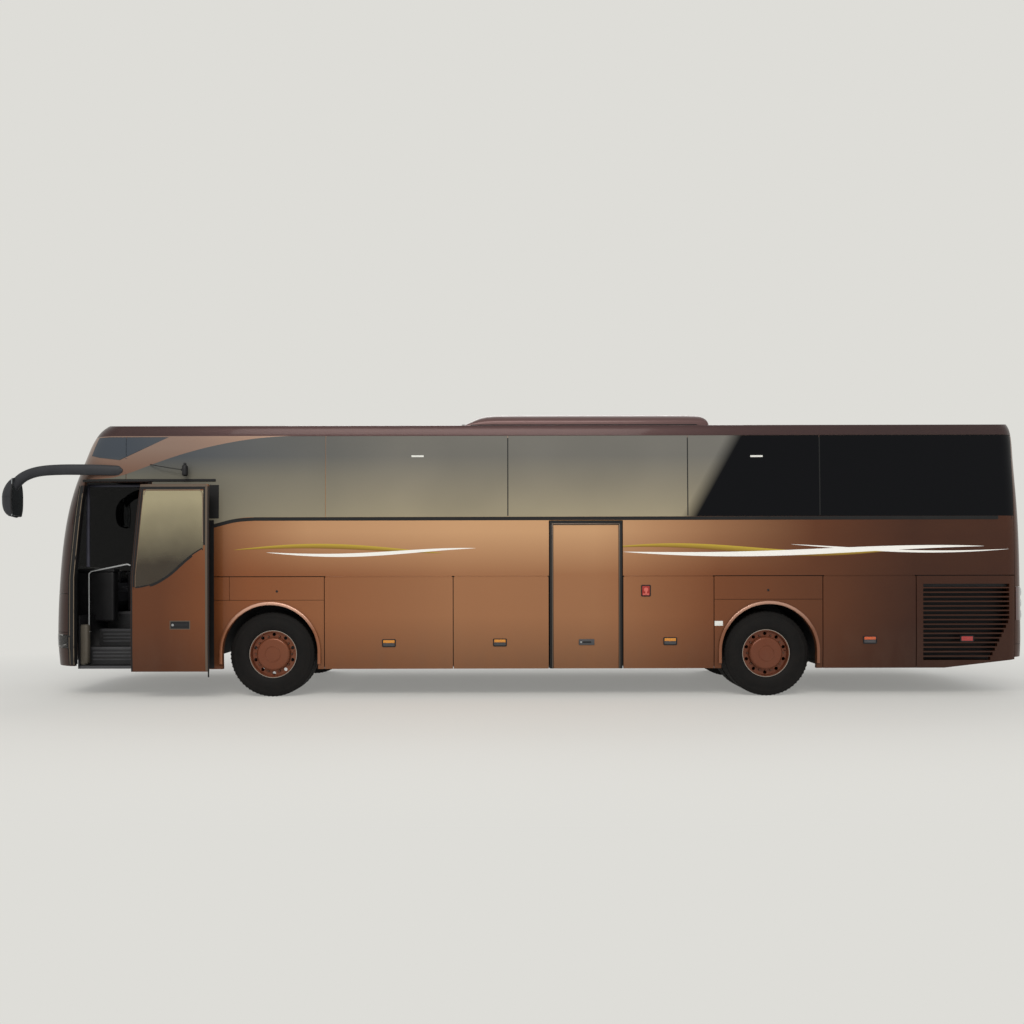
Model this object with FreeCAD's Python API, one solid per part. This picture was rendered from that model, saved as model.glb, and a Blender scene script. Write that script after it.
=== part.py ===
"""A full-size touring coach with its nearside entrance door standing open.

The frame is the row's own: +Z up, the coach faces -X, its nearside (door side) is -Y.
The origin lies on the ground, in the middle of the overall box from mirror tips to tail.
Stations along the coach are measured from the front axle, towards the tail.
"""

import FreeCAD, Part
import math
import os
from FreeCAD import Vector

# Overall sizes, in millimetres
body_length = 12140.0
body_width = 2550.0
wheelbase = 6080.0
front_overhang = 2820.0
roof_height = 3450.0
mirror_lead = 390.0
mirror_reach = 190.0
hull_foot = 290.0

# How the walls lean: the nose, the tail, the side windows and the roof's shoulder
nose_rake = 465.0
tail_rake = 100.0
tumblehome = 30.0
nose_corner = 400.0
nose_bow = 6000.0
tail_corner = 260.0
tail_bow = 9000.0
crown_radius = 6000.0
nose_dome_radius = 1500.0
nose_dome_setback = 1320.0
tail_dome_radius = 260.0
tail_dome_setback = 400.0
dome_arc_degrees = 64.0
dome_proud = 6.0

# Levels above the ground
skirt = 352.0
nose_skirt = 392.0
tail_skirt = 480.0
tail_rise_length = 1100.0
bumper_top = 800.0
hatch_seam = 1192.0
waist_seam = 1479.0
belt = 2205.0
cant = 3200.0
front_header = 2640.0
header_split_lead = 1760.0
windscreen_foot = 1335.0
windscreen_head = 3105.0

# Thicknesses and gaps
wall = 50.0
door_thickness = 45.0
flap_thickness = 40.0
glass_thickness = 8.0
seat_gap = 0.3
pane_gap = 8.0
panel_gap = 5.0
flap_gap = 10.0
door_gap = 12.0
overrun = 60.0
plate = 30.0
post_half = 18.0

# Entrance door, ahead of the front axle
doorway_rear = -1447.0
doorway_width = 941.0
doorway_lean = 110.0
door_travel_back = 784.0
door_travel_out = 225.0
leaf_frame = 52.0
leaf_frame_top = 75.0
leaf_sill_frame = 22.0

# Door arms: a turning pillar with a bent arm near each end
pillar_radius = 22.0
pillar_edge_gap = 52.0
arm_radius = 17.0
arm_end_radius = 24.0
pivot_pin_radius = 12.0
pin_play = 0.08
pivot_inset = 40.0
ear_thickness = 12.0
ear_gap = 4.0
arm_drop = 35.0
arm_lift = 205.0

# Lower side panels
arch_panel_back = 660.0
flap_one_length = 1571.0
flap_two_length = 1168.0
mid_doorway_width = 903.0
mid_doorway_top = 2158.0
arch_panel_ahead = 669.0
arch_panel_behind = 658.0
flap_four_length = 1138.0
side_end_setback = 237.0
hatch_front_back = 497.0

# Wheel arches
arch_radius = 581.0
arch_lift = 34.0
arch_lip_width = 20.0
arch_lip_proud = 12.0
liner_radius = 628.0
liner_thickness = 10.0
liner_depth = 712.0

# Windows
glass_end_setback = 240.0
pane_seam_shares = (0.111, 0.477, 0.838, 1.103)
pillar_half = 55.0
belt_dip_start = -187.0
belt_dip_run = 2158.0
belt_dip_drop = 880.0
belt_dip_shares = (
    (0.0, 0.0), (0.1, 0.018), (0.198, 0.073), (0.407, 0.223), (0.617, 0.466),
    (0.702, 0.608), (0.785, 0.79), (0.851, 0.9), (0.906, 0.959), (1.0, 1.0),
)
sweep_start = 326.0
sweep_run = 2257.0
sweep_drop = 510.0
sweep_shares = (
    (0.0, 0.0), (0.227, 0.065), (0.4435, 0.23), (0.6327, 0.45),
    (0.795, 0.7), (0.93, 0.92), (1.0, 1.0),
)
patch_rear = -1240.0
patch_front = -2215.0
patch_foot = 2905.0
patch_head = 3188.0
patch_slant = 600.0
screen_half_foot = 1045.0
screen_half_head = 1010.0
screen_corner = 120.0
tail_window_foot = 2260.0
tail_window_head = 3090.0
tail_window_half = 930.0

# Floors and entry steps
aisle_floor = 1230.0
podium = 1380.0
cab_floor = 1010.0
aisle_half = 215.0
deck = 40.0
first_step = 384.0
step_rise = 208.0
step_depth = 254.0
mid_step_depth = 212.0
cab_floor_start = -2640.0
deck_start = -640.0
bay_floor = 412.0

# Seats and racks
seat_pitch = 790.0
seat_rows = 11
seat_pair_width = 985.0
cushion_depth = 450.0
cushion_thickness = 110.0
cushion_height = 440.0
back_height = 720.0
back_thickness = 95.0
back_lean = 13.0
seat_leg_width = 60.0
rack_height = 2740.0
rack_thickness = 55.0
rack_reach = 430.0

# Wheels
tyre_radius = 522.0
tyre_width = 298.0
tread_width = 250.0
shoulder_drop = 16.0
rim_radius = 286.0
rim_width = 222.0
track = 2094.0
twin_spacing = 330.0
rim_wall = 10.0
disc_offset = 52.0
disc_thickness = 16.0
cap_radius = 206.0
cap_proud = 14.0
cap_round = 34.0
hand_hole_radius = 22.0
hand_hole_count = 10
hand_hole_circle = 240.0
hub_radius = 110.0
spindle_radius = 34.0
drum_radius = 205.0

# Axles, steering and suspension
kingpin_inset = 168.0
kingpin_radius = 24.0
kingpin_boss = 46.0
beam_half = 55.0
knuckle_half = 62.0
axle_tube = 74.0
differential = 190.0
rail_foot = 770.0
rail_head = 880.0
rail_outer = 430.0
rail_width = 90.0
spring_radius = 105.0
spring_setback = 200.0

# Roof equipment
cooler_front = 2330.0
cooler_length = 3100.0
cooler_top = 3620.0
cooler_half = 960.0
cooler_slope = 330.0
cooler_round = 60.0
hatch_length = 760.0
hatch_half = 330.0
hatch_rise = 34.0
hatch_overlap = 45.0
hatch_front_station = 560.0
hatch_rear_station = 6500.0

# Nose and tail fittings
lamp_inner = 770.0
lamp_foot = 610.0
lamp_head = 775.0
tail_lamp_inner = 1000.0
grille_slats = 17
grille_length_shares = (0.07, 0.94)
grille_height_shares = (0.29, 0.93)
grille_corner_share = 0.22
tail_lamp_foot = 930.0
tail_lamp_head = 1340.0
lamp_proud = 5.0
lid_half = 850.0
lid_foot = 640.0
lid_head = 1900.0

# Mirrors
mirror_arm_level = 2800.0
mirror_arm_root = -1800.0
mirror_arm_deep = 104.0
mirror_arm_wide = 62.0
mirror_head_deep = 500.0
mirror_head_wide = 240.0
mirror_head_long = 190.0
mirror_glass_thickness = 6.0

# Towing sockets
tow_bore_radius = 18.0
tow_bore_depth = 110.0
tow_boss = 46.0
tow_offset = 350.0
tow_level = 690.0
tow_level_rear = 560.0

# Engine and cab
engine_front = 7250.0
engine_length = 1700.0
engine_half = 340.0
engine_foot = 470.0
engine_top = 1150.0
steering_wheel_radius = 225.0
steering_wheel_bar = 16.0
steering_wheel_tilt = 35.0
column_radius = 32.0
column_length = 560.0
driver_offset = 640.0

# Stations worked out from the sizes above, in the row frame
half_span = (body_length + mirror_lead) / 2
nose = mirror_lead - half_span
front_axle = nose + front_overhang
rear_axle = front_axle + wheelbase
tail = nose + body_length
half_width = body_width / 2
doorway_back = front_axle + doorway_rear
doorway_front = doorway_back - doorway_width
flap_one_front = front_axle + arch_panel_back
flap_two_front = flap_one_front + flap_one_length
mid_doorway_front = flap_two_front + flap_two_length
mid_doorway_back = mid_doorway_front + mid_doorway_width
rear_panel_front = rear_axle - arch_panel_ahead
rear_panel_back = rear_axle + arch_panel_behind
tail_panel_front = rear_panel_back + flap_four_length
side_end = tail - side_end_setback
glass_end = tail - glass_end_setback
header_split = front_axle - header_split_lead

# Body levels: height and nose lean as shares of roof height and nose rake, tail lean as a share of
# tail rake, and the half-width lost as a share of the tumblehome
level_shares = (
    (0.174, 0.009, 0.0, 0.0),
    (0.275, 0.0, 0.0, 0.0),
    (0.435, 0.06, 0.08, 0.0),
    (0.634, 0.237, 0.3, 0.1),
    (0.783, 0.538, 0.65, 0.433),
    (0.855, 0.753, 0.82, 0.667),
    (0.9275, 1.0, 1.0, 1.0),
    (0.9536, 1.14, 1.15, 1.567),
    (0.9739, 1.312, 1.4, 2.833),
    (1.003, 1.72, 2.0, 6.167),
)
foot_shares = (0.054, 0.2, 0.433)


def block(x0, x1, y0, y1, z0, z1):
    return Part.makeBox(x1 - x0, y1 - y0, z1 - z0, Vector(x0, y0, z0))


def mirrored(shape):
    """The same shape on the other side of the coach."""
    return shape.mirror(Vector(0, 0, 0), Vector(0, 1, 0))


def both_sides(shape):
    return Part.makeCompound([shape, mirrored(shape)])


def outline(points, curves=()):
    """Edges through the points in turn, closed. A curve replaces the straight edge that starts at its index."""
    edges = []
    spans = dict(curves)
    for index, start in enumerate(points):
        end = points[(index + 1) % len(points)]
        if index in spans:
            spline = Part.BSplineCurve()
            spline.interpolate([start] + list(spans[index]) + [end])
            edges.append(spline.toShape())
        else:
            edges.append(Part.LineSegment(start, end).toShape())
    return Part.Face(Part.Wire(edges))


def side_prism(points, y0, y1, curves=()):
    """A side-view outline of (x, z) points, pulled from y0 to y1."""
    spans = [(i, [Vector(x, y0, z) for x, z in c]) for i, c in curves]
    face = outline([Vector(x, y0, z) for x, z in points], spans)
    return face.extrude(Vector(0, y1 - y0, 0))


def front_prism(points, x0, x1):
    """A front-view outline of (y, z) points, pulled from x0 to x1."""
    face = outline([Vector(x0, y, z) for y, z in points])
    return face.extrude(Vector(x1 - x0, 0, 0))


def corner_points(end, half, corner, bow, side, z, sense):
    """Where a bowed end meets its corner arc, the arc's middle, and where the arc meets the side."""
    across = math.sqrt((bow - corner) ** 2 - (half - corner) ** 2)
    centre = Vector(end + sense * (bow - across), side * (half - corner), z)
    bow_centre = Vector(end + sense * bow, 0, z)
    along = (centre - bow_centre).normalize()
    join = bow_centre + along * bow
    at_side = Vector(centre.x, side * half, z)
    middle = ((join - centre) + (at_side - centre)).normalize()
    return join, centre + middle * corner, at_side


def plan_wire(z, half, front, back, inset):
    """The body's outline at one level, drawn in by the inset."""
    nose_arc = {s: corner_points(front, half, nose_corner - inset, nose_bow - inset, s, z, 1) for s in (-1, 1)}
    tail_arc = {s: corner_points(back, half, tail_corner - inset, tail_bow - inset, s, z, -1) for s in (-1, 1)}
    join, middle, side = 0, 1, 2
    arcs = [
        Part.Arc(nose_arc[1][join], Vector(front, 0, z), nose_arc[-1][join]),
        Part.Arc(*nose_arc[-1]),
        Part.LineSegment(nose_arc[-1][side], tail_arc[-1][side]),
        Part.Arc(tail_arc[-1][side], tail_arc[-1][middle], tail_arc[-1][join]),
        Part.Arc(tail_arc[-1][join], Vector(back, 0, z), tail_arc[1][join]),
        Part.Arc(*tail_arc[1]),
        Part.LineSegment(tail_arc[1][side], nose_arc[1][side]),
        Part.Arc(nose_arc[1][side], nose_arc[1][middle], nose_arc[1][join]),
    ]
    return Part.Wire([arc.toShape() for arc in arcs])


def crown_prism(inset):
    """Everything under the roof's arched crown."""
    top = roof_height - inset
    reach = half_width + overrun
    radius = crown_radius - inset
    drop = radius - math.sqrt(radius ** 2 - reach ** 2)
    arc = Part.Arc(Vector(nose - overrun, -reach, top - drop), Vector(nose - overrun, 0, top),
                   Vector(nose - overrun, reach, top - drop)).toShape()
    low_right = Vector(nose - overrun, reach, 0)
    low_left = Vector(nose - overrun, -reach, 0)
    edges = [
        arc,
        Part.LineSegment(Vector(nose - overrun, reach, top - drop), low_right).toShape(),
        Part.LineSegment(low_right, low_left).toShape(),
        Part.LineSegment(low_left, Vector(nose - overrun, -reach, top - drop)).toShape(),
    ]
    return Part.Face(Part.Wire(edges)).extrude(Vector(body_length + 2 * overrun, 0, 0))


def dome_arc(centre_x, centre_z, radius, sense):
    """An arc from straight up, down towards one end of the coach, in the side view."""
    full_turn = math.radians(dome_arc_degrees)
    y = -half_width - 2 * overrun
    at = [Vector(centre_x + sense * radius * math.sin(a), y, centre_z + radius * math.cos(a))
          for a in (0, full_turn / 2, full_turn)]
    return at, Part.Arc(*at).toShape()


def dome_prism(inset):
    """Everything under the roof line of the side view, rounded off at both ends."""
    top = roof_height + dome_proud - inset
    front, front_arc = dome_arc(nose + nose_dome_setback, top - nose_dome_radius, nose_dome_radius, -1)
    back, back_arc = dome_arc(tail - tail_dome_setback, top - tail_dome_radius, tail_dome_radius, 1)
    y = -half_width - 2 * overrun
    reach = body_length + mirror_lead
    low_front = Vector(nose - reach, y, 0)
    low_back = Vector(tail + reach, y, 0)
    fall = math.tan(math.radians(dome_arc_degrees))
    far_front = Vector(nose - reach, y, front[2].z - (front[2].x - nose + reach) * fall)
    far_back = Vector(tail + reach, y, back[2].z - (tail + reach - back[2].x) * fall)
    low_front.z = min(low_front.z, far_front.z) - overrun
    low_back.z = min(low_back.z, far_back.z) - overrun
    ring = [front[0], back[0], back[2], far_back, low_back, low_front, far_front, front[2]]
    edges = [Part.LineSegment(ring[0], ring[1]).toShape(), back_arc]
    edges += [Part.LineSegment(a, b).toShape() for a, b in zip(ring[2:], ring[3:])]
    edges.append(front_arc)
    return Part.Face(Part.Wire(Part.sortEdges(edges)[0])).extrude(Vector(0, body_width + 4 * overrun, 0))


hulls = {}
shells = {}


def hull(inset):
    """The whole body's outer form, drawn in by the inset, solid from below the skirt to the roof."""
    if inset not in hulls:
        wires = [plan_wire(hull_foot - inset, half_width - tumblehome * foot_shares[2] - inset,
                           nose + nose_rake * foot_shares[0] + inset,
                           tail - tail_rake * foot_shares[1] - inset, inset)]
        for height, lean, back_lean_share, narrow in level_shares:
            level = roof_height * height - (inset if height > 1 else 0)
            wires.append(plan_wire(level, half_width - tumblehome * narrow - inset,
                                   nose + nose_rake * lean + inset,
                                   tail - tail_rake * back_lean_share - inset, inset))
        solid = Part.makeLoft(wires, True, False)
        hulls[inset] = solid.common(crown_prism(inset)).common(dome_prism(inset))
    return hulls[inset]


def shell(outer, inner):
    """The skin between two insets."""
    key = (outer, inner)
    if key not in shells:
        shells[key] = hull(outer).cut(hull(inner))
    return shells[key]


def belt_curve_points():
    """The window sill's sweep down towards the nose, from the rear end forwards."""
    start = front_axle + belt_dip_start
    return [(start - belt_dip_run * run, belt - belt_dip_drop * drop) for run, drop in belt_dip_shares]


def sweep_curve_points():
    """The lower edge of the painted sweep over the front side window, from the nose end backwards."""
    start = front_axle + sweep_start
    return [(start - sweep_run * run, cant - sweep_drop * drop) for run, drop in reversed(sweep_shares)]


def doorway_edge(z):
    """The slanted front edge of the entrance, further back the higher it is."""
    return doorway_front + doorway_lean * max(0.0, z - waist_seam) / (front_header - waist_seam)


def glass_band(y0, y1, lift=0.0):
    """The side glazing's outline from the tail to the nose pillar, with the dipping sill and the swept head."""
    sill = [(x, z + lift) for x, z in belt_curve_points()]
    head = [(x, z - lift) for x, z in sweep_curve_points()]
    front_foot = sill[-1]
    top_z = head[0][1] - (cant - front_header) * 0.05
    points = [(glass_end - lift, belt + lift), sill[0], front_foot,
              (doorway_edge(top_z) + overrun / 4, top_z), head[0], head[-1],
              (glass_end - lift, cant - lift)]
    return side_prism(points, y0, y1, [(1, sill[1:-1]), (4, head[1:-1])])


def pane_seams():
    return [front_axle + wheelbase * share for share in pane_seam_shares]


def side_pane_spans():
    """Front and rear station of each big side pane behind the entrance."""
    seams = pane_seams()
    starts = [doorway_back + pane_gap] + [s + pane_gap / 2 for s in seams]
    ends = [s - pane_gap / 2 for s in seams] + [glass_end]
    return list(zip(starts, ends))


def far_left():
    return -half_width - 2 * overrun


def above_door_region(y0, y1):
    """The part of the glazing that runs forward over the entrance door."""
    level = front_header + pane_gap * 2
    return block(header_split + pane_gap / 2, doorway_back + pane_gap + overrun, y0, y1, level, cant)


def window_holes(y0, y1, first_front):
    """The through openings behind the panes, leaving pillars and rails."""
    clear = glass_band(y0, y1, pillar_half)
    holes = []
    for index, (front, back) in enumerate(side_pane_spans()):
        start = first_front if index == 0 else front + pillar_half
        stop = back - pillar_half
        holes.append(clear.common(block(start, stop, y0, y1, waist_seam, cant)))
    return holes


def side_frame_left():
    """The nearside wall from the waist seam to the roof, with the windows and both doorways cut."""
    y0, y1 = far_left(), -half_width * 0.6
    points = [(doorway_back, waist_seam + panel_gap), (doorway_back, front_header),
              (header_split, front_header), (header_split, cant), (side_end, cant),
              (side_end, waist_seam + panel_gap)]
    body = shell(0, wall).common(side_prism(points, y0, y1))
    band = glass_band(y0, y1)
    doorway = block(doorway_front - overrun, doorway_back, y0, y1, 0, front_header + pane_gap)
    recess = shell(0, glass_thickness + seat_gap).common(band.cut(doorway))
    body = body.cut(recess)
    for hole in window_holes(y0, y1, doorway_back + pillar_half):
        body = body.cut(hole)
    opening = block(mid_doorway_front, mid_doorway_back, y0, y1, 0, mid_doorway_top)
    return body.cut(opening)


def side_frame_right():
    """The offside wall from the waist seam to the roof, with the driver's window ahead of the rest."""
    y0, y1 = half_width * 0.6, half_width + 2 * overrun
    front_low = doorway_edge(waist_seam) + panel_gap
    front_high = doorway_edge(front_header) + panel_gap
    points = [(front_low, waist_seam + panel_gap), (front_high, front_header), (header_split, front_header),
              (header_split, cant), (side_end, cant),
              (side_end, waist_seam + panel_gap)]
    body = shell(0, wall).common(side_prism(points, y0, y1))
    body = body.cut(shell(0, glass_thickness + seat_gap).common(glass_band(y0, y1)))
    for hole in window_holes(y0, y1, doorway_back + pillar_half):
        body = body.cut(hole)
    drivers = glass_band(y0, y1, pillar_half).common(
        block(doorway_front + 2 * pillar_half, doorway_back - pillar_half, y0, y1,
              waist_seam + pillar_half, front_header - pillar_half))
    return body.cut(drivers)


def side_panes(left):
    """Bonded panes that cover the pillars, with a thin seam between each pair, from the nose to the tail."""
    y0, y1 = (far_left(), -half_width * 0.6) if left else (half_width * 0.6, half_width + 2 * overrun)
    skin = shell(0, glass_thickness).common(glass_band(y0, y1))
    panes = []
    for index, (front, back) in enumerate(side_pane_spans()):
        zone = block(front, back, y0, y1, waist_seam + panel_gap, cant - pane_gap / 2)
        if index == 0:
            zone = zone.fuse(above_door_region(y0, y1)).removeSplitter()
        panes.append(skin.common(zone))
    if not left:
        panes.insert(0, skin.common(block(doorway_front - overrun, doorway_back - pane_gap / 2, y0, y1,
                                          waist_seam + 2 * panel_gap, front_header)))
    return panes


def front_side_glass():
    """The panes that run over the entrance, the driver's window, and the dark corner panes."""
    return joined(side_panes(True)[0], *side_panes(False)[:2], quarter_patches())


def side_glass():
    """All panes further back, and the rear window."""
    return joined(*side_panes(True)[1:], *side_panes(False)[2:], rear_window())


def solids_of(shapes):
    return [solid for shape in shapes for solid in shape.Solids]


def largest(shape):
    return max(shape.Solids, key=lambda s: s.Volume)


def arch_cutter(axle, y0, y1):
    radius_block = Part.makeCylinder(arch_radius, y1 - y0, Vector(axle, y0, tyre_radius + arch_lift), Vector(0, 1, 0))
    legs = block(axle - arch_radius, axle + arch_radius, y0, y1, 0, tyre_radius + arch_lift)
    return radius_block.fuse(legs)


def arch_lip(axle):
    """A rolled lip that stands proud of the panel round the wheel opening."""
    y0 = -half_width - arch_lip_proud
    outer = Part.makeCylinder(arch_radius + arch_lip_width, wall, Vector(axle, y0, tyre_radius + arch_lift),
                              Vector(0, 1, 0))
    above = block(axle - 2 * arch_radius, axle + 2 * arch_radius, y0 - overrun, y0 + 2 * wall,
                  skirt + panel_gap, hatch_seam - panel_gap)
    return outer.common(above).cut(arch_cutter(axle, y0 - overrun, y0 + 2 * wall))


def arch_panel(front, back, axle):
    """The fixed lower panel round one nearside wheel opening."""
    zone = block(front, back, far_left(), -half_width * 0.6, skirt, hatch_seam - panel_gap / 2)
    body = shell(0, wall).common(zone)
    body = body.cut(arch_cutter(axle, far_left(), -half_width * 0.6))
    return body.fuse(arch_lip(axle)).removeSplitter()


def hatch_panel(front, back):
    """A fixed service panel between the arch panel and the waist seam."""
    zone = block(front, back, far_left(), -half_width * 0.6, hatch_seam + panel_gap / 2,
                 waist_seam - panel_gap)
    return shell(0, wall).common(zone)


def arch_panels_left():
    front_start = doorway_back
    hatch_start = front_axle - hatch_front_back
    front_end = flap_one_front - flap_gap / 2
    rear_start = rear_panel_front + flap_gap / 2
    rear_end = rear_panel_back - flap_gap / 2
    shapes = [
        arch_panel(front_start, front_end, front_axle),
        hatch_panel(front_start, hatch_start - panel_gap / 2),
        hatch_panel(hatch_start + panel_gap / 2, front_end),
        arch_panel(rear_start, rear_end, rear_axle),
        hatch_panel(rear_start, rear_end),
    ]
    return Part.makeCompound(solids_of(shapes))


def arch_panels_right():
    """As on the nearside, with a fixed panel under the driver's window in place of the door."""
    ahead = doorway_edge(0) + panel_gap
    zone = block(ahead, doorway_back - panel_gap, far_left(), -half_width * 0.6, nose_skirt,
                 waist_seam - panel_gap)
    driver_panel = shell(0, wall).common(zone)
    return mirrored(Part.makeCompound(solids_of([arch_panels_left(), driver_panel])))


def side_face(z):
    """How far the body's side stands from the middle at one level."""
    line = Part.makeLine(Vector(front_axle, 0, z), Vector(front_axle, body_width, z))
    return hull(0).common(line).BoundBox.YMax


def tail_face(z):
    """How far back the body's tail reaches on the centre line at one level."""
    line = Part.makeLine(Vector(rear_axle, 0, z), Vector(tail + body_width, 0, z))
    return hull(0).common(line).BoundBox.XMax


def bead_radius():
    """The hinge bead fills the seam, less the seat gap."""
    return panel_gap - seat_gap


def flap_hinge_y():
    return -side_face(waist_seam) + bead_radius()


def flap(front, back):
    """One luggage flap on the nearside, with a round hinge bead along its top edge."""
    start, stop = front + flap_gap / 2, back - flap_gap / 2
    zone = block(start, stop, far_left(), -half_width * 0.6, skirt, waist_seam - flap_gap)
    body = shell(0, flap_thickness).common(zone)
    y, radius = flap_hinge_y(), bead_radius()
    bead = Part.makeCylinder(radius, stop - start - 2 * flap_gap, Vector(start + flap_gap, y, waist_seam),
                             Vector(1, 0, 0))
    web = block(start + flap_gap, stop - flap_gap, y - radius / 4, y + radius / 2, waist_seam - 2 * flap_gap,
                waist_seam)
    return body.fuse(bead).fuse(web).removeSplitter()


def grille_slots(front, back, foot, head, count, y0, y1):
    """Horizontal slots that leave slats between them, cut short by a slanted corner at the tail."""
    pitch = (head - foot) / count
    slots = []
    corner = (back - front) * grille_corner_share
    for index in range(count):
        z = foot + index * pitch
        share = max(0.0, 1.0 - (z - foot) / ((head - foot) * 0.5))
        slots.append(block(front, back - corner * share, y0, y1, z + pitch * 0.3, z + pitch))
    return slots


def tail_panels_left():
    """The fixed panel beside the engine, with its slatted grille."""
    front = tail_panel_front + flap_gap / 2
    y0, y1 = far_left(), -half_width * 0.6
    rise = (tail_skirt - skirt) / tail_rise_length
    start = tail - tail_rise_length
    points = [(front, skirt), (max(start, front), skirt), (side_end, skirt + (side_end - start) * rise),
              (side_end, waist_seam - panel_gap), (front, waist_seam - panel_gap)]
    body = shell(0, wall).common(side_prism(points, y0, y1))
    grille_front, grille_back = [tail_panel_front + (side_end - tail_panel_front) * share
                                 for share in grille_length_shares]
    grille_foot, grille_head = [waist_seam * share for share in grille_height_shares]
    for slot in grille_slots(grille_front, grille_back, grille_foot, grille_head, grille_slats, y0, y1):
        body = body.cut(slot)
    return body


def screen_outline(x0, x1, inset):
    """The windscreen's outline in the front view."""
    foot, head = windscreen_foot + inset, windscreen_head - inset
    half_foot, half_head = screen_half_foot - inset, screen_half_head - inset
    cut = screen_corner
    points = [(-half_foot + cut / 2, foot), (half_foot - cut / 2, foot), (half_foot, foot + cut),
              (half_head, head - cut), (half_head - cut, head), (-half_head + cut, head),
              (-half_head, head - cut), (-half_foot, foot + cut)]
    return front_prism(points, x0, x1)


def patch_prism(y0, y1, inset):
    """The dark quarter patch above the mirror, in the side view."""
    front = front_axle + patch_front + inset
    rear = front_axle + patch_rear - 2 * inset
    head = patch_head - inset
    foot = patch_foot + inset
    lean = (patch_head - patch_foot) * 0.3
    points = [(front + lean, head), (rear, head), (rear - patch_slant, foot),
              (front + patch_slant * 0.2, foot + overrun * 0.5), (front, foot + overrun)]
    return side_prism(points, y0, y1)


def front_frame():
    """The nose above the waist: pillars, door header, painted sweep, and the band under the roof."""
    low = windscreen_foot + panel_gap - overrun
    points = [(nose - overrun, low), (doorway_edge(low), low), (doorway_edge(waist_seam), waist_seam),
              (doorway_edge(front_header), front_header), (header_split, front_header),
              (header_split, cant), (nose - overrun, cant)]
    left = side_prism(points, far_left(), 0)
    body = shell(0, wall).common(left)
    low_right = side_prism(points, 0, -far_left())
    right = shell(0, wall).common(low_right)
    body = body.fuse(right).removeSplitter()
    body = body.cut(screen_outline(nose - overrun, nose + nose_dome_setback * 0.8, 0))
    skin = shell(0, glass_thickness + seat_gap)
    for y0, y1 in ((far_left(), -half_width * 0.6), (half_width * 0.6, -far_left())):
        body = body.cut(skin.common(patch_prism(y0, y1, 0)))
        band = glass_band(y0, y1).common(block(doorway_front, header_split + overrun, y0, y1,
                                               front_header, cant))
        body = body.cut(skin.common(band))
    return body


def quarter_patches():
    """Dark panes let into the sweep above each mirror, and over each front corner."""
    skin = shell(0, glass_thickness)
    shapes = []
    for y0, y1 in ((far_left(), -half_width * 0.6), (half_width * 0.6, -far_left())):
        patch = patch_prism(y0, y1, panel_gap / 2)
        ahead = block(doorway_front, header_split - pane_gap / 2, y0, y1, front_header + 2 * pane_gap, cant)
        shapes.append(skin.common(patch).cut(block(header_split - pane_gap / 2, header_split + pane_gap / 2,
                                                   y0, y1, 0, roof_height)))
        shapes.append(skin.common(glass_band(y0, y1)).common(ahead))
    return Part.makeCompound(solids_of(shapes))


def side_patch_recess(y0, y1):
    return shell(0, glass_thickness + seat_gap).common(patch_prism(y0, y1, 0))


def front_mask():
    """The nose panel between bumper and windscreen."""
    level = windscreen_foot + panel_gap - overrun - panel_gap
    zone = block(nose - overrun, doorway_edge(0) - panel_gap, far_left(), -far_left(),
                 bumper_top + panel_gap, level)
    return shell(0, wall).common(zone)


def front_bumper():
    """The nose below the mask, with pockets for the headlamps."""
    zone = block(nose - overrun, doorway_edge(0) - panel_gap, far_left(), -far_left(), nose_skirt, bumper_top)
    body = shell(0, wall).common(zone)
    pocket = block(nose - overrun, doorway_edge(0), lamp_inner, -far_left(), lamp_foot, lamp_head)
    forward = block(nose - overrun, nose + nose_corner, 0, -far_left(), 0, bumper_top)
    pocket = pocket.common(forward)
    eye = tow_hole(nose - overrun, tow_level, 1, tow_bore_radius + 2 * panel_gap, nose_corner)
    return body.cut(pocket).cut(mirrored(pocket)).cut(eye)


def headlamps():
    zone = block(nose - overrun, nose + nose_corner - panel_gap, lamp_inner + panel_gap, -far_left(),
                 lamp_foot + seat_gap, lamp_head - panel_gap)
    lamp = shell(-lamp_proud, wall).common(zone)
    return Part.makeCompound(solids_of([lamp, mirrored(lamp)]))


def windscreen():
    skin = shell(0, glass_thickness)
    return skin.common(screen_outline(nose - overrun, nose + nose_dome_setback * 0.8, seat_gap))


def roof():
    """The roof from the cant line up, with two hatch openings."""
    zone = block(nose - overrun, tail + overrun, far_left(), -far_left(), cant + seat_gap, cooler_top)
    body = shell(0, wall).common(zone)
    for station in (hatch_front_station, hatch_rear_station):
        x = front_axle + station
        body = body.cut(block(x + hatch_overlap, x + hatch_length - hatch_overlap, -hatch_half + hatch_overlap,
                              hatch_half - hatch_overlap, cant, cooler_top))
    return body


def roof_hatch(station):
    """A lid that stands a little proud of the crown over its opening."""
    x = front_axle + station
    cover = shell(-hatch_rise, -seat_gap).common(
        block(x, x + hatch_length, -hatch_half, hatch_half, cant, cooler_top))
    return largest(cover)


def roof_cooler():
    """The roof-mounted air conditioner: a long low pod with sloping ends."""
    front = front_axle + cooler_front
    back = front + cooler_length
    low = roof_height - (cooler_top - roof_height)
    points = [(front, low), (front, roof_height - cooler_round / 2), (front + cooler_slope / 2, cooler_top - cooler_round),
              (front + cooler_slope, cooler_top), (back - cooler_round * 1.5, cooler_top),
              (back, cooler_top - cooler_round * 1.5), (back, low)]
    body = side_prism(points, -cooler_half, cooler_half)
    edges = [e for e in body.Edges if abs(abs(e.CenterOfMass.y) - cooler_half) < 1 and
             e.BoundBox.ZMin > roof_height - cooler_round and e.BoundBox.XLength > 1]
    body = body.makeFillet(cooler_round, edges)
    return body.cut(hull(-seat_gap))


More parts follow.
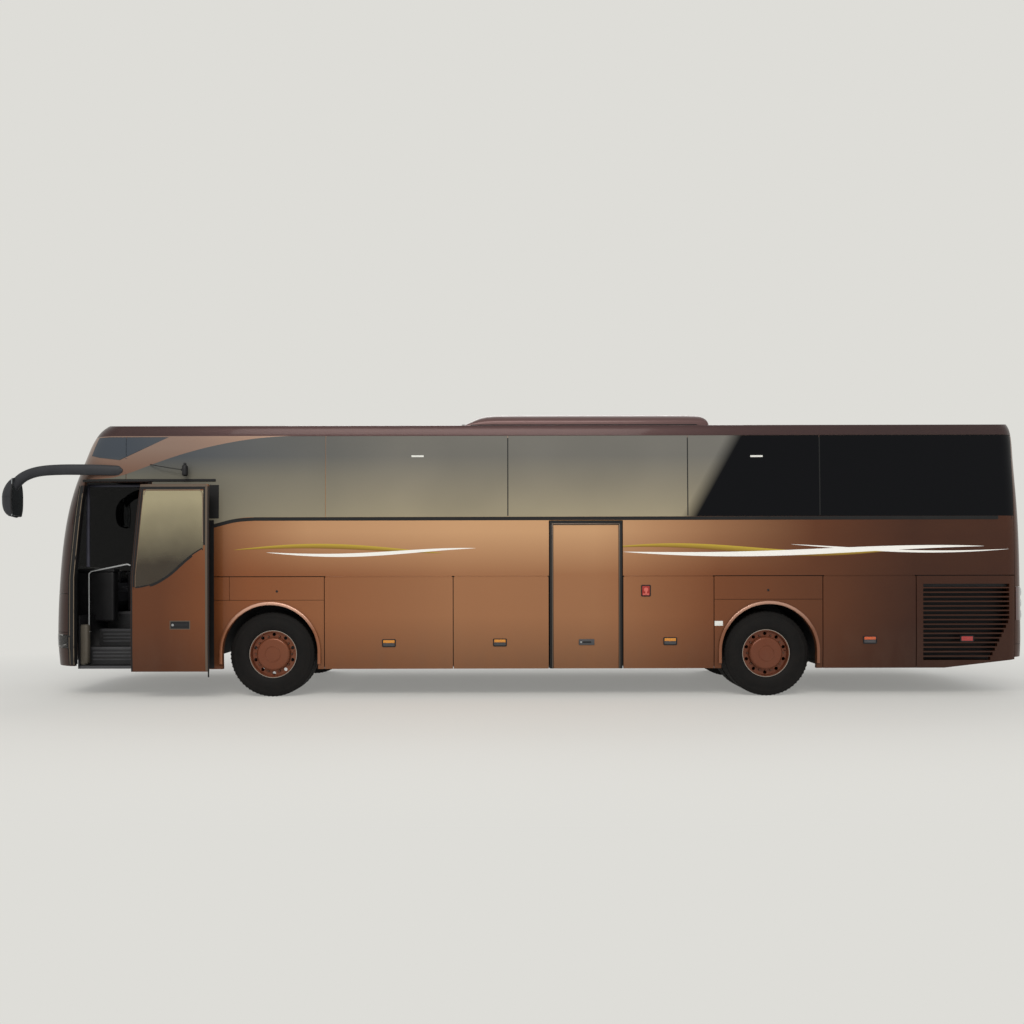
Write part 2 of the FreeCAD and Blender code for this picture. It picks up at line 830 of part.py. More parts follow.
def rear_mask():
    """The tail above the bumper, with its window, the engine opening and the lamp pockets."""
    zone = block(side_end + panel_gap, tail + overrun, far_left(), -far_left(), lid_foot, cant)
    body = shell(0, wall).common(zone)
    body = body.cut(block(tail - tail_corner * 1.5, tail + overrun, -tail_window_half, tail_window_half,
                          tail_window_foot, tail_window_head))
    body = body.cut(block(tail - tail_corner * 1.5, tail + overrun, -lid_half, lid_half, 0, lid_head))
    for lamp_block in tail_lamp_blocks(0):
        body = body.cut(lamp_block)
    return body


def tail_lamp_blocks(inset):
    left = block(side_end + 3 * panel_gap + inset, tail + overrun, far_left(), -tail_lamp_inner - inset,
                 tail_lamp_foot + inset * 0.1, tail_lamp_head - inset)
    return left, mirrored(left)


def tail_lamps():
    skin = shell(-lamp_proud, wall)
    return Part.makeCompound(solids_of([skin.common(zone) for zone in tail_lamp_blocks(panel_gap / 2)]))


def rear_window():
    zone = block(tail - tail_corner * 1.5, tail + overrun, -tail_window_half + seat_gap,
                 tail_window_half - seat_gap, tail_window_foot + seat_gap, tail_window_head - seat_gap)
    return shell(0, glass_thickness).common(zone)


def lid_hinge():
    """The engine lid's hinge line: its station and level."""
    z = lid_head - panel_gap
    return tail_face(z) - bead_radius(), z


def engine_lid():
    """The tail's lid, with a short hinge bead in the middle of its top edge."""
    zone = block(tail - tail_corner * 1.5, tail + overrun, -lid_half + flap_gap, lid_half - flap_gap,
                 lid_foot + flap_gap / 2, lid_head - flap_gap - panel_gap)
    body = shell(0, flap_thickness).common(zone)
    x, z = lid_hinge()
    half, radius = lid_half * 0.22, bead_radius()
    bead = Part.makeCylinder(radius, 2 * half, Vector(x, -half, z), Vector(0, 1, 0))
    web = block(x - radius / 2, x + radius / 4, -half, half, z - 2 * flap_gap, z)
    return body.fuse(bead).fuse(web).removeSplitter()


def rear_bumper():
    zone = block(side_end + panel_gap, tail + overrun, far_left(), -far_left(), tail_skirt, lid_foot - panel_gap)
    eye = tow_hole(tail + overrun, tow_level_rear, -1, tow_bore_radius + 2 * panel_gap, nose_corner)
    return shell(0, wall).common(zone).cut(eye)


def leaf_outline(inset, foot, head):
    """The entrance leaf's side-view outline."""
    front_low = doorway_edge(0) + door_gap + inset
    front_bend = doorway_edge(waist_seam) + door_gap + inset
    front_high = doorway_edge(head) + door_gap + inset
    back = doorway_back - door_gap - inset
    return [(front_low, foot), (back, foot), (back, head), (front_high, head), (front_bend, waist_seam)]


def leaf_head():
    return front_header - leaf_frame


def door_glass_zone(inset):
    y0, y1 = far_left(), -half_width * 0.6
    zone = side_prism(leaf_outline(leaf_frame + inset, skirt, leaf_head() - leaf_frame_top - inset), y0, y1)
    return zone.common(glass_band(y0, y1, leaf_sill_frame + inset))


def open_shift():
    """How far the entrance door stands from its closed place, as in the photograph."""
    return Vector(door_travel_back, -door_travel_out, 0)


def swing():
    """The door arm's radius, and its whole turn from closed to open in degrees."""
    turn = 2 * math.atan2(door_travel_back, door_travel_out)
    return door_travel_out / math.sin(turn), math.degrees(turn)


def pivot_y():
    return -half_width + door_thickness + pivot_inset


def ears(x, level):
    """Two lugs on the leaf's inner face with the pin that the arm's end turns on."""
    y = pivot_y()
    reach = ear_gap + arm_end_radius * 0.75
    shapes = []
    for z in (level - reach - ear_thickness, level + reach):
        shapes.append(block(x - arm_end_radius, x + arm_end_radius,
                            y - pivot_inset - door_thickness / 3, y + pivot_pin_radius * 1.5, z, z + ear_thickness))
    pin = Part.makeCylinder(pivot_pin_radius, 2 * reach + 2 * ear_thickness,
                            Vector(x, y, level - reach - ear_thickness))
    return shapes + [pin]


def fused(shapes):
    body = shapes[0]
    for shape in shapes[1:]:
        body = body.fuse(shape)
    return body.removeSplitter()


def pillar_x(back):
    return back - pillar_edge_gap


def front_arm_levels():
    return (first_step + arm_lift, leaf_head() - arm_drop)


def mid_arm_levels():
    """The lower arm passes over the second tread."""
    return (first_step + step_rise + arm_radius + 2 * panel_gap, mid_doorway_top - door_gap - arm_drop)


def closed_front_leaf():
    """The entrance leaf at its closed place: a painted panel with a framed glass opening."""
    y0, y1 = far_left(), -half_width * 0.6
    body = shell(0, door_thickness).common(side_prism(leaf_outline(0, skirt, leaf_head()), y0, y1))
    body = body.cut(door_glass_zone(0))
    radius, turn = swing()
    x, y = pillar_x(doorway_back) - radius, pivot_y()
    reach = ear_gap + arm_end_radius * 0.75
    for level in front_arm_levels():
        end_room = Part.makeCylinder(arm_end_radius + panel_gap, 2 * reach, Vector(x, y, level - reach))
        arm_room = rod(Vector(x - radius, y, level), Vector(x, y, level), arm_radius + panel_gap)
        body = body.cut(end_room).cut(arm_room).fuse(fused(ears(x, level)))
    return body.removeSplitter()


def front_leaf():
    leaf = closed_front_leaf()
    leaf.translate(open_shift())
    return leaf


def front_leaf_glass():
    pane = shell(glass_thickness / 2, glass_thickness * 1.5).common(door_glass_zone(seat_gap))
    pane.translate(open_shift())
    return largest(pane)


def mid_leaf():
    """The middle door's leaf, closed, painted from sill to belt."""
    zone = block(mid_doorway_front + door_gap, mid_doorway_back - door_gap, far_left(), -half_width * 0.6,
                 skirt, mid_doorway_top - door_gap)
    body = shell(0, door_thickness).common(zone)
    radius, turn = swing()
    x = pillar_x(mid_doorway_back) - radius
    for level in mid_arm_levels():
        body = body.fuse(fused(ears(x, level)))
    return body.removeSplitter()


def rod(start, end, radius):
    along = end - start
    return Part.makeCylinder(radius, along.Length, start, along)


def open_arm(back, levels, foot, head):
    """The turning pillar and its two bent arms, as they stand with the door open."""
    x, y = pillar_x(back), pivot_y()
    radius, turn = swing()
    angle = math.radians(180 + turn)
    end_x = x + radius * math.cos(angle)
    end_y = y + radius * math.sin(angle)
    shapes = [Part.makeCylinder(pillar_radius, head - foot, Vector(x, y, foot))]
    for level in levels:
        start, elbow, end = Vector(x, y, level), Vector(x, end_y, level), Vector(end_x, end_y, level)
        stop = end - Vector(arm_end_radius - arm_radius / 4, 0, 0)
        half = arm_end_radius * 0.75
        shapes.append(rod(start, elbow, arm_radius))
        shapes.append(Part.makeSphere(arm_radius, elbow))
        shapes.append(rod(elbow, stop, arm_radius))
        shapes.append(Part.makeCylinder(arm_end_radius, 2 * half, end - Vector(0, 0, half)))
    body = fused(shapes)
    for level in levels:
        bore = Part.makeCylinder(pivot_pin_radius + pin_play, 2 * overrun, Vector(end_x, end_y, level - overrun))
        body = body.cut(bore)
    return body


def front_arm():
    return open_arm(doorway_back, front_arm_levels(), first_step + seat_gap, leaf_head())


def mid_arm():
    arm = open_arm(mid_doorway_back, mid_arm_levels(), first_step + seat_gap, mid_doorway_top - door_gap)
    radius, turn = swing()
    arm.rotate(Vector(pillar_x(mid_doorway_back), pivot_y(), 0), Vector(0, 0, 1), -turn)
    return arm


def pillar_bearings():
    """A bracket on the wall round the top of each door pillar."""
    shapes = []
    for back, top in ((doorway_back, leaf_head()), (mid_doorway_back, mid_doorway_top - door_gap)):
        x, y = pillar_x(back), pivot_y()
        foot = top - arm_drop + arm_radius + panel_gap
        body = block(x - 2 * pillar_radius, back + 3 * pillar_radius, y - 1.5 * pillar_radius,
                     y + 1.5 * pillar_radius, foot, top + pillar_radius)
        tail_leg = block(back + pillar_radius, back + 3 * pillar_radius, -half_width, y, foot, top + pillar_radius)
        body = body.fuse(tail_leg).removeSplitter().common(hull(wall + seat_gap))
        bore = Part.makeCylinder(pillar_radius + pin_play, 2 * top, Vector(x, y, 0))
        shapes.append(body.cut(bore))
    return Part.makeCompound(solids_of(shapes))


def stair_outline(steps, depth, top, inner):
    """A zigzag of treads and risers, one plate thick, in the front view."""
    upper = []
    y = -half_width + wall + seat_gap
    z = first_step
    for index in range(steps):
        upper.append((y, z))
        y = -half_width + wall + depth * (index + 1)
        upper.append((y, z))
        z += step_rise
    upper.append((y, top))
    upper.append((inner, top))
    lower = [(inner, top - plate)]
    for yy, zz in reversed(upper[:-1]):
        lower.append((yy + plate if zz != upper[0][1] or yy != upper[0][0] else yy, zz - plate))
    return upper + lower


def stairs(front, back, depth, inner):
    body = front_prism(stair_outline(3, depth, cab_floor, inner), front, back)
    return body.common(hull(wall + seat_gap))


def entry_steps():
    return stairs(doorway_edge(0) + door_gap, doorway_back, step_depth, -rail_outer)


def landing_edge():
    """Where the middle stairs end and the landing beside the aisle begins."""
    return -half_width + wall + 4 * mid_step_depth


def mid_steps():
    return stairs(mid_doorway_front, mid_doorway_back, mid_step_depth, landing_edge())


def cab_deck():
    """The driver's platform and the floor round the entrance."""
    start = front_axle + cab_floor_start
    end = front_axle + deck_start
    low = cab_floor - deck
    main = block(start, end, -rail_outer + seat_gap, half_width, low, cab_floor)
    behind = block(doorway_back + seat_gap, end, -half_width, 0, low, cab_floor)
    return main.fuse(behind).removeSplitter().common(hull(wall + seat_gap))


def seat_platform(start, end):
    """One straight run of the nearside seat platform: its edge wall, its deck and its wall to the aisle."""
    edge = -half_width + 2 * wall
    inner = -aisle_half - deck
    return [
        block(start, end, -half_width, edge, podium - deck, waist_seam + 2 * wall),
        block(start, end, edge, inner, podium - deck, podium),
        block(start, end, inner, -aisle_half, aisle_floor - deck, podium),
    ]


def floor_deck():
    """The saloon floor: raised seat platforms on both sides of a sunken aisle, in straight planks."""
    start = front_axle + deck_start + seat_gap
    front, back = mid_doorway_front - seat_gap, mid_doorway_back + seat_gap
    inner = aisle_half + deck
    foot = cab_floor - deck
    riser = block(start, start + plate, -half_width, -inner, foot, podium - deck)
    planks = seat_platform(start, front) + seat_platform(back, tail) + [riser]
    planks += [mirrored(plank) for plank in seat_platform(start, tail) + [riser]]
    planks.append(block(start, start + plate, -inner, inner, foot, aisle_floor - deck))
    planks.append(block(start, tail, -aisle_half, aisle_half, aisle_floor - deck, aisle_floor))
    planks.append(block(front, back, landing_edge() + seat_gap, -aisle_half, aisle_floor - deck, aisle_floor))
    bounds = hull(wall + seat_gap)
    return Part.makeCompound(solids_of([plank.common(bounds) for plank in planks]))


def well_lining():
    """The walls round the middle stairwell, with the riser under its landing."""
    front, back = mid_doorway_front, mid_doorway_back
    inner = landing_edge()
    outer = -half_width + 2 * wall
    top = podium - deck - seat_gap
    return Part.makeCompound([
        block(front - plate, front - seat_gap, outer, inner, bay_floor, top),
        block(back + seat_gap, back + plate, outer, inner, bay_floor, top),
        block(front + seat_gap, back - seat_gap, inner + seat_gap, inner + plate, bay_floor,
              aisle_floor - deck - seat_gap),
    ])


def bulkheads():
    """Cross walls that close the luggage bays at each end."""
    outer = half_width - 2 * wall
    top = aisle_floor - deck - seat_gap
    front_wall = block(flap_one_front + flap_gap, flap_one_front + flap_gap + plate, -outer, outer, bay_floor, top)
    back_wall = block(rear_panel_front - flap_gap - plate, rear_panel_front - flap_gap, -outer, outer,
                      bay_floor, top)
    side_wall = block(rear_panel_back + flap_gap, tail_panel_front - flap_gap, -outer * 0.6 - plate,
                      -outer * 0.6, bay_floor, podium - deck - seat_gap)
    end_wall = block(tail_panel_front - flap_gap - plate, tail_panel_front - flap_gap, -outer,
                     -outer * 0.6 - plate - seat_gap, bay_floor, podium - deck - seat_gap)
    first_wall = end_wall.translated(Vector(rear_panel_back - tail_panel_front + 2 * flap_gap + plate, 0, 0))
    return Part.makeCompound([front_wall, back_wall, side_wall, mirrored(side_wall), end_wall,
                              mirrored(end_wall), first_wall, mirrored(first_wall)])


def seam_posts():
    """Posts behind the seams of the lower side, under the floor's edge: panels and flaps close against them."""
    inner = -half_width + 2 * wall
    top = podium - deck - seat_gap
    shapes = []
    for seam in (flap_one_front, flap_two_front, mid_doorway_front - plate, mid_doorway_back + plate,
                 rear_panel_front, rear_panel_back, tail_panel_front):
        post = block(seam - post_half, seam + post_half, -half_width, inner - seat_gap, bay_floor - deck, top)
        shapes.append(post.common(hull(wall + seat_gap)))
    return both_sides(joined(*shapes))


def bay_floors():
    """The floors of the luggage bays and of the service bays behind the rear axle."""
    outer = half_width - 2 * wall
    low = bay_floor - deck
    main = block(flap_one_front, rear_panel_front, -outer, outer, low, bay_floor - seat_gap)
    well = block(mid_doorway_front - seat_gap, mid_doorway_back + seat_gap, -half_width, -rail_outer + plate,
                 0, cant)
    rear = block(rear_panel_back + flap_gap / 2, tail_panel_front - flap_gap / 2, -outer,
                 -engine_half * 1.4, low, bay_floor - seat_gap)
    return Part.makeCompound(solids_of([main.cut(well), rear, mirrored(rear)]))


def tow_socket(x0, x1, level):
    """A square boss that reaches to the bumper's inner face from the cross beam."""
    return block(x0, x1, tow_offset - tow_boss, tow_offset + tow_boss, level - tow_boss,
                 level + tow_boss).common(hull(wall + seat_gap))


def tow_hole(x, level, sense, radius, depth):
    return Part.makeCylinder(radius, depth, Vector(x, tow_offset, level), Vector(sense, 0, 0))


def front_rails():
    """The members from the nose to the first bulkhead, with the cross beam behind the bumper."""
    inner, outer = rail_outer - rail_width, rail_outer - 2 * seat_gap
    beam_start = nose + nose_corner / 2
    rail = block(front_axle + cab_floor_start, flap_one_front - seat_gap, inner, outer, rail_foot, rail_head)
    post = block(front_axle + deck_start, front_axle + deck_start + 3 * plate, inner, outer, rail_head,
                 cab_floor - deck - seat_gap)
    beam = block(beam_start, beam_start + 4 * plate, -half_width, half_width, rail_foot - 4 * plate,
                 rail_foot + 2 * plate).common(hull(wall + seat_gap))
    socket = tow_socket(nose, beam_start + plate, tow_level)
    body = fused([rail, post, mirrored(rail), mirrored(post), beam, socket])
    return body.cut(tow_hole(nose, tow_level, 1, tow_bore_radius, wall + tow_bore_depth))


def back_rails():
    """The members from the rear bulkhead to the tail, with the engine mounts and the tail beam.
    Each straight member is a piece of its own, standing on the next one."""
    inner, outer = rail_outer - rail_width, rail_outer - 2 * seat_gap
    beam_end = tail - wall - plate
    beam_top = lid_foot - 2 * panel_gap
    rail = block(rear_panel_front, beam_end, inner, outer, rail_foot, rail_head)
    hanger = block(rear_panel_back, rear_panel_back + 3 * plate, inner, outer, rail_head,
                   podium - deck - seat_gap)
    beam = block(beam_end - 4 * plate, beam_end, -half_width, half_width, beam_top - 4 * plate,
                 beam_top).common(hull(wall + seat_gap))
    tie = block(beam_end - 3 * plate, beam_end - plate, inner, outer, beam_top - plate, rail_foot)
    socket = tow_socket(beam_end - plate, tail, tow_level_rear)
    mount_start = front_axle + engine_front + 2 * plate
    mount = block(mount_start, mount_start + 4 * plate, engine_half + seat_gap, outer, rail_foot - 3 * plate,
                  rail_foot)
    cross = fused([beam, socket, tie, mirrored(tie)])
    cross = cross.cut(tow_hole(tail, tow_level_rear, -1, tow_bore_radius, wall + tow_bore_depth))
    return Part.makeCompound([cross, rail, hanger, mount, mirrored(rail), mirrored(hanger), mirrored(mount)])


def wheel_liner(axle, depth):
    """One nearside wheel housing: a half drum with its inner wall, open outwards and below."""
    outer, inner = liner_radius + liner_thickness, liner_radius
    y0 = -half_width + wall + seat_gap
    y1 = y0 + depth
    centre = Vector(axle, y0, tyre_radius)
    drum = Part.makeCylinder(outer, depth, centre, Vector(0, 1, 0))
    hollow = Part.makeCylinder(inner, depth - liner_thickness, centre, Vector(0, 1, 0))
    body = drum.cut(hollow)
    body = body.cut(block(axle - 2 * outer, axle + 2 * outer, y0 - overrun, y1 + overrun, -outer, tyre_radius))
    notch = block(axle - drum_radius, axle + drum_radius, y1 - 2 * liner_thickness, y1 + overrun, 0,
                  tyre_radius + drum_radius)
    return body.cut(notch).common(hull(wall + seat_gap))


def wheel_liners():
    front = wheel_liner(front_axle, liner_depth)
    back = wheel_liner(rear_axle, liner_depth - 2 * liner_thickness)
    ties = []
    for axle in (front_axle, rear_axle):
        tie = block(axle - plate, axle + plate, -half_width + 3 * wall, -half_width + 5 * wall,
                    tyre_radius + liner_radius + liner_thickness / 2, podium - deck - seat_gap)
        ties.append(tie)
    front = fused([front, ties[0]])
    back = fused([back, ties[1]])
    return Part.makeCompound([front, mirrored(front), back, mirrored(back)])


def revolved(points, y):
    """A profile of (across, radius) points turned about a wheel's axis at the origin."""
    ring = [Vector(0, y + across, radius) for across, radius in points]
    edges = [Part.LineSegment(a, b).toShape() for a, b in zip(ring, ring[1:] + ring[:1])]
    return Part.Face(Part.Wire(edges)).revolve(Vector(0, 0, 0), Vector(0, 1, 0), 360)


def tyre_at(y):
    half, tread = tyre_width / 2, tread_width / 2
    bead = rim_width / 2 - rim_wall - seat_gap
    rise = tyre_radius - rim_radius
    toe, heel = rim_radius + seat_gap, rim_radius + rim_wall + seat_gap
    points = [(-bead, toe), (-bead, heel), (-half, rim_radius + rise * 0.45),
              (-half + (half - tread) * 0.35, rim_radius + rise * 0.78), (-tread, tyre_radius - shoulder_drop),
              (-tread * 0.85, tyre_radius), (tread * 0.85, tyre_radius), (tread, tyre_radius - shoulder_drop),
              (half - (half - tread) * 0.35, rim_radius + rise * 0.78), (half, rim_radius + rise * 0.45),
              (bead, heel), (bead, toe)]
    return revolved(points, y)


def rim_profile(sense):
    """Barrel with flanges and the wheel disc, the outer face towards sense."""
    half = rim_width / 2
    r = rim_radius
    s = sense
    return [(-s * half, r - rim_wall), (-s * half, r + rim_wall), (-s * (half - rim_wall), r + rim_wall),
            (-s * (half - rim_wall), r), (s * (half - rim_wall), r), (s * (half - rim_wall), r + rim_wall),
            (s * half, r + rim_wall), (s * half, r - rim_wall), (s * (disc_offset + disc_thickness), r - 2 * rim_wall),
            (s * (disc_offset + disc_thickness), cap_radius * 0.5), (s * disc_offset, cap_radius * 0.5),
            (s * disc_offset, r - 2 * rim_wall), (s * (disc_offset - disc_thickness), r - rim_wall)]


def rim_at(y, sense):
    body = revolved(rim_profile(sense), y)
    for index in range(hand_hole_count):
        angle = 2 * math.pi * (index + 0.5) / hand_hole_count
        centre = Vector(hand_hole_circle * math.cos(angle), y + sense * (disc_offset - overrun),
                        hand_hole_circle * math.sin(angle))
        body = body.cut(Part.makeCylinder(hand_hole_radius, 2 * overrun, centre, Vector(0, sense, 0)))
    return body


def wheel_cap(y, sense):
    """The painted cover over the hub, standing a little proud of the rim."""
    face = rim_width / 2 + cap_proud
    base = disc_offset + disc_thickness / 2
    cap = Part.makeCylinder(cap_radius, face - base, Vector(0, y + sense * base, 0), Vector(0, sense, 0))
    edges = [e for e in cap.Edges if abs(e.CenterOfMass.y - (y + sense * face)) < 1]
    return cap.makeFillet(cap_round, edges)


def hub(y0, y1, sense):
    """A hub drum about a wheel's axis, from y0 outwards to y1, bored for the spindle."""
    length = abs(y1 - y0)
    body = Part.makeCylinder(hub_radius, length, Vector(0, y0, 0), Vector(0, sense, 0))
    bore = Part.makeCylinder(spindle_radius + pin_play, length - overrun / 2, Vector(0, y0, 0), Vector(0, sense, 0))
    return body.cut(bore)


def placed(shape, x):
    shape = shape.copy()
    shape.translate(Vector(x, 0, tyre_radius))
    return shape


def wheel_y():
    return -track / 2


def front_rim():
    """The nearside front wheel without its tyre."""
    y = wheel_y()
    inboard = y + disc_offset * 0.6
    body = fused([rim_at(y, -1), wheel_cap(y, -1), hub(inboard, y - disc_offset - disc_thickness, -1)])
    return placed(body, front_axle)


def rear_rims():
    """The nearside pair of twin wheels on one hub, without the tyres."""
    y = wheel_y()
    inner = y + twin_spacing
    shapes = [rim_at(y, -1), wheel_cap(y, -1), rim_at(inner, -1),
              hub(inner + disc_offset * 0.6, y - disc_offset - disc_thickness, -1)]
    disc = Part.makeCylinder(cap_radius * 0.7, disc_thickness, Vector(0, inner - disc_offset - disc_thickness, 0),
                             Vector(0, 1, 0))
    disc = disc.cut(Part.makeCylinder(spindle_radius + pin_play, disc_thickness,
                                      Vector(0, inner - disc_offset - disc_thickness, 0), Vector(0, 1, 0)))
    return placed(fused(shapes + [disc]), rear_axle)


def front_tyre():
    return placed(tyre_at(wheel_y()), front_axle)


def rear_tyres():
    y = wheel_y()
    return placed(Part.makeCompound([tyre_at(y), tyre_at(y + twin_spacing)]), rear_axle)


def kingpin_y():
    return wheel_y() + kingpin_inset


def knuckle():
    """The nearside stub axle: a fork round the beam's end, its kingpin, a brake drum and the spindle."""
    y = kingpin_y()
    reach = beam_half * 1.1 + ear_gap / 2
    ear = beam_half * 0.5
    outer = y - kingpin_boss - 2 * panel_gap
    shapes = []
    for z in (-reach - ear, reach):
        shapes.append(block(-knuckle_half, knuckle_half, outer - ear, y + kingpin_boss * 0.8, z, z + ear))
    shapes.append(block(-knuckle_half, knuckle_half, outer - ear, outer, -reach - ear, reach + ear))
    shapes.append(Part.makeCylinder(kingpin_radius, 2 * (reach + ear), Vector(0, y, -reach - ear)))
    hub_face = wheel_y() + disc_offset * 0.6
    spindle_end = wheel_y() - disc_offset - disc_thickness + overrun / 2 + 2 * panel_gap
    shapes.append(Part.makeCylinder(hub_radius * 0.9, outer - ear - hub_face - panel_gap,
                                    Vector(0, outer - ear, 0), Vector(0, -1, 0)))
    shapes.append(Part.makeCylinder(spindle_radius, outer - ear - spindle_end,
                                    Vector(0, outer - ear, 0), Vector(0, -1, 0)))
    return placed(fused(shapes), front_axle)


def front_beam():
    """The front axle beam with a bored boss for each kingpin."""
    y = kingpin_y()
    reach = beam_half * 1.1 - ear_gap / 2
    shapes = [block(-beam_half, beam_half, y + kingpin_boss * 0.6, -y - kingpin_boss * 0.6, -beam_half, beam_half)]
    for side in (y, -y):
        shapes.append(Part.makeCylinder(kingpin_boss, 2 * reach, Vector(0, side, -reach)))
    body = fused(shapes)
    for side in (y, -y):
        body = body.cut(Part.makeCylinder(kingpin_radius + pin_play, 4 * reach, Vector(0, side, -2 * reach)))
    return placed(body, front_axle)


def rear_housing():
    """The driven rear axle: a tube with the differential, ending in a spindle each side."""
    hub_face = wheel_y() + twin_spacing + disc_offset * 0.6
    spindle_end = wheel_y() - disc_offset - disc_thickness + overrun / 2 + 2 * panel_gap
    tube = Part.makeCylinder(axle_tube, -2 * (hub_face + panel_gap), Vector(0, hub_face + panel_gap, 0),
                             Vector(0, 1, 0))
    spindle = Part.makeCylinder(spindle_radius, -2 * spindle_end, Vector(0, spindle_end, 0), Vector(0, 1, 0))
    ball = Part.makeSphere(differential, Vector(0, 0, 0))
    snout = Part.makeCylinder(differential * 0.4, differential * 2, Vector(0, 0, 0), Vector(1, 0, 0))
    return placed(fused([tube, spindle, ball, snout]), rear_axle)


def air_springs():
    """Air bellows between each axle and the rails, on pads that stand on the axles."""
    shapes = []
    y = rail_outer - rail_width / 2
    for axle, top in ((front_axle, beam_half), (rear_axle, axle_tube)):
        pad = block(-spring_setback - spring_radius, spring_setback + spring_radius, -y - rail_width / 2,
                    -y + rail_width / 2, top + seat_gap, top + plate)
        bellows = [Part.makeCylinder(spring_radius, rail_foot - tyre_radius - top - plate - seat_gap,
                                     Vector(side * spring_setback, -y, top + plate)) for side in (-1, 1)]
        body = placed(fused([pad] + bellows), axle)
        shapes += [body, mirrored(body)]
    return Part.makeCompound(shapes)


def engine():
    x = front_axle + engine_front
    return block(x, x + engine_length, -engine_half, engine_half, engine_foot, engine_top)


def seat_pair(x, y_centre, floor):
    """A double seat: one cushion, one leaning back and a pedestal leg."""
    half = seat_pair_width / 2
    z = floor + cushion_height
    cushion = block(x, x + cushion_depth, y_centre - half, y_centre + half, z - cushion_thickness, z)
    back = block(x + cushion_depth - back_thickness, x + cushion_depth, y_centre - half, y_centre + half,
                 z - cushion_thickness, z + back_height)
    back.rotate(Vector(x + cushion_depth - back_thickness, y_centre, z), Vector(0, 1, 0), back_lean)
    leg = block(x + cushion_depth * 0.3, x + cushion_depth * 0.6, y_centre - seat_leg_width / 2,
                y_centre + seat_leg_width / 2, floor + seat_gap, z - cushion_thickness / 2)
    return fused([cushion, back, leg])


def passenger_seats():
    """Rows of double seats on the platforms, leaving out the nearside row over the middle stairwell."""
    y = aisle_half + seat_pair_width / 2 + seat_gap
    first = front_axle + deck_start + seat_pitch * 0.75
    shapes = []
    for row in range(seat_rows):
        x = first + row * seat_pitch
        shapes.append(seat_pair(x, y, podium))
        over_well = x + cushion_depth * 1.5 > mid_doorway_front - plate and x < mid_doorway_back + plate
        if not over_well:
            shapes.append(seat_pair(x, -y, podium))
    return Part.makeCompound(shapes)


def crew_seats():
    """The driver's seat and the guide's seat on their pedestals."""
    half = seat_pair_width * 0.27
    shapes = []
    for x, y in ((front_axle + doorway_rear - 2 * pillar_half, driver_offset),
                 (front_axle + doorway_rear + 3 * pillar_half, -driver_offset)):
        z = cab_floor + cushion_height
        cushion = block(x, x + cushion_depth, y - half, y + half, z - cushion_thickness, z)
        back = block(x + cushion_depth - back_thickness, x + cushion_depth, y - half, y + half,
                     z - cushion_thickness, z + back_height)
        back.rotate(Vector(x + cushion_depth - back_thickness, y, z), Vector(0, 1, 0), back_lean)
        base = block(x + cushion_depth * 0.2, x + cushion_depth * 0.8, y - half * 0.7, y + half * 0.7,
                     cab_floor + seat_gap, z - cushion_thickness / 2)
        shapes.append(fused([cushion, back, base]))
    return Part.makeCompound(shapes)


def parcel_racks():
    """Overhead racks along both walls."""
    start = front_axle + deck_start + seat_pitch / 2
    end = tail - tail_corner * 2
    y = half_width
    points = [(-y, rack_height), (-y + rack_reach, rack_height + rack_thickness * 1.6),
              (-y + rack_reach, rack_height + rack_thickness * 2.6), (-y, rack_height + rack_thickness)]
    rack = front_prism(points, start, end).common(hull(wall + seat_gap))
    return Part.makeCompound(solids_of([rack, mirrored(rack)]))


def column_line():
    """The steering wheel's middle, and the direction its column runs, forwards and down."""
    lean = math.radians(steering_wheel_tilt)
    middle = Vector(front_axle + cab_floor_start + doorway_width * 0.68, driver_offset,
                    windscreen_foot + steering_wheel_radius * 0.85)
    return middle, Vector(-math.sin(lean), 0, -math.cos(lean))


def dashboard():
    """The instrument panel across the nose, with a bore for the steering column."""
    edge = front_axle + cab_floor_start
    deep = doorway_width * 0.47
    low = cab_floor + seat_gap
    points = [(nose, low), (nose, windscreen_foot), (edge + deep * 0.4, windscreen_foot + overrun),
              (edge + deep, windscreen_foot - overrun), (edge + deep, windscreen_foot - 3 * overrun),
              (edge + deep * 0.75, low)]
    body = side_prism(points, -rail_outer - step_depth, half_width).common(hull(wall + seat_gap))
    middle, along = column_line()
    bore = Part.makeCylinder(column_radius + pin_play, column_length + seat_gap, middle, along)
    return body.cut(bore)


def steering_wheel():
    """Rim, spokes and column, leaning towards the driver."""
    middle, along = column_line()
    ring = Part.makeTorus(steering_wheel_radius, steering_wheel_bar, middle, along)
    boss = Part.makeCylinder(column_radius * 1.8, steering_wheel_bar * 2, middle - along * steering_wheel_bar, along)
    column = Part.makeCylinder(column_radius, column_length, middle, along)
    side = Vector(0, 1, 0)
    up = along.cross(side)
    spokes = [rod(middle, middle + (side * math.cos(a) + up * math.sin(a)) * steering_wheel_radius,
                  steering_wheel_bar * 0.6) for a in (0, math.pi / 2, math.pi)]
    return fused([ring, boss, column] + spokes)


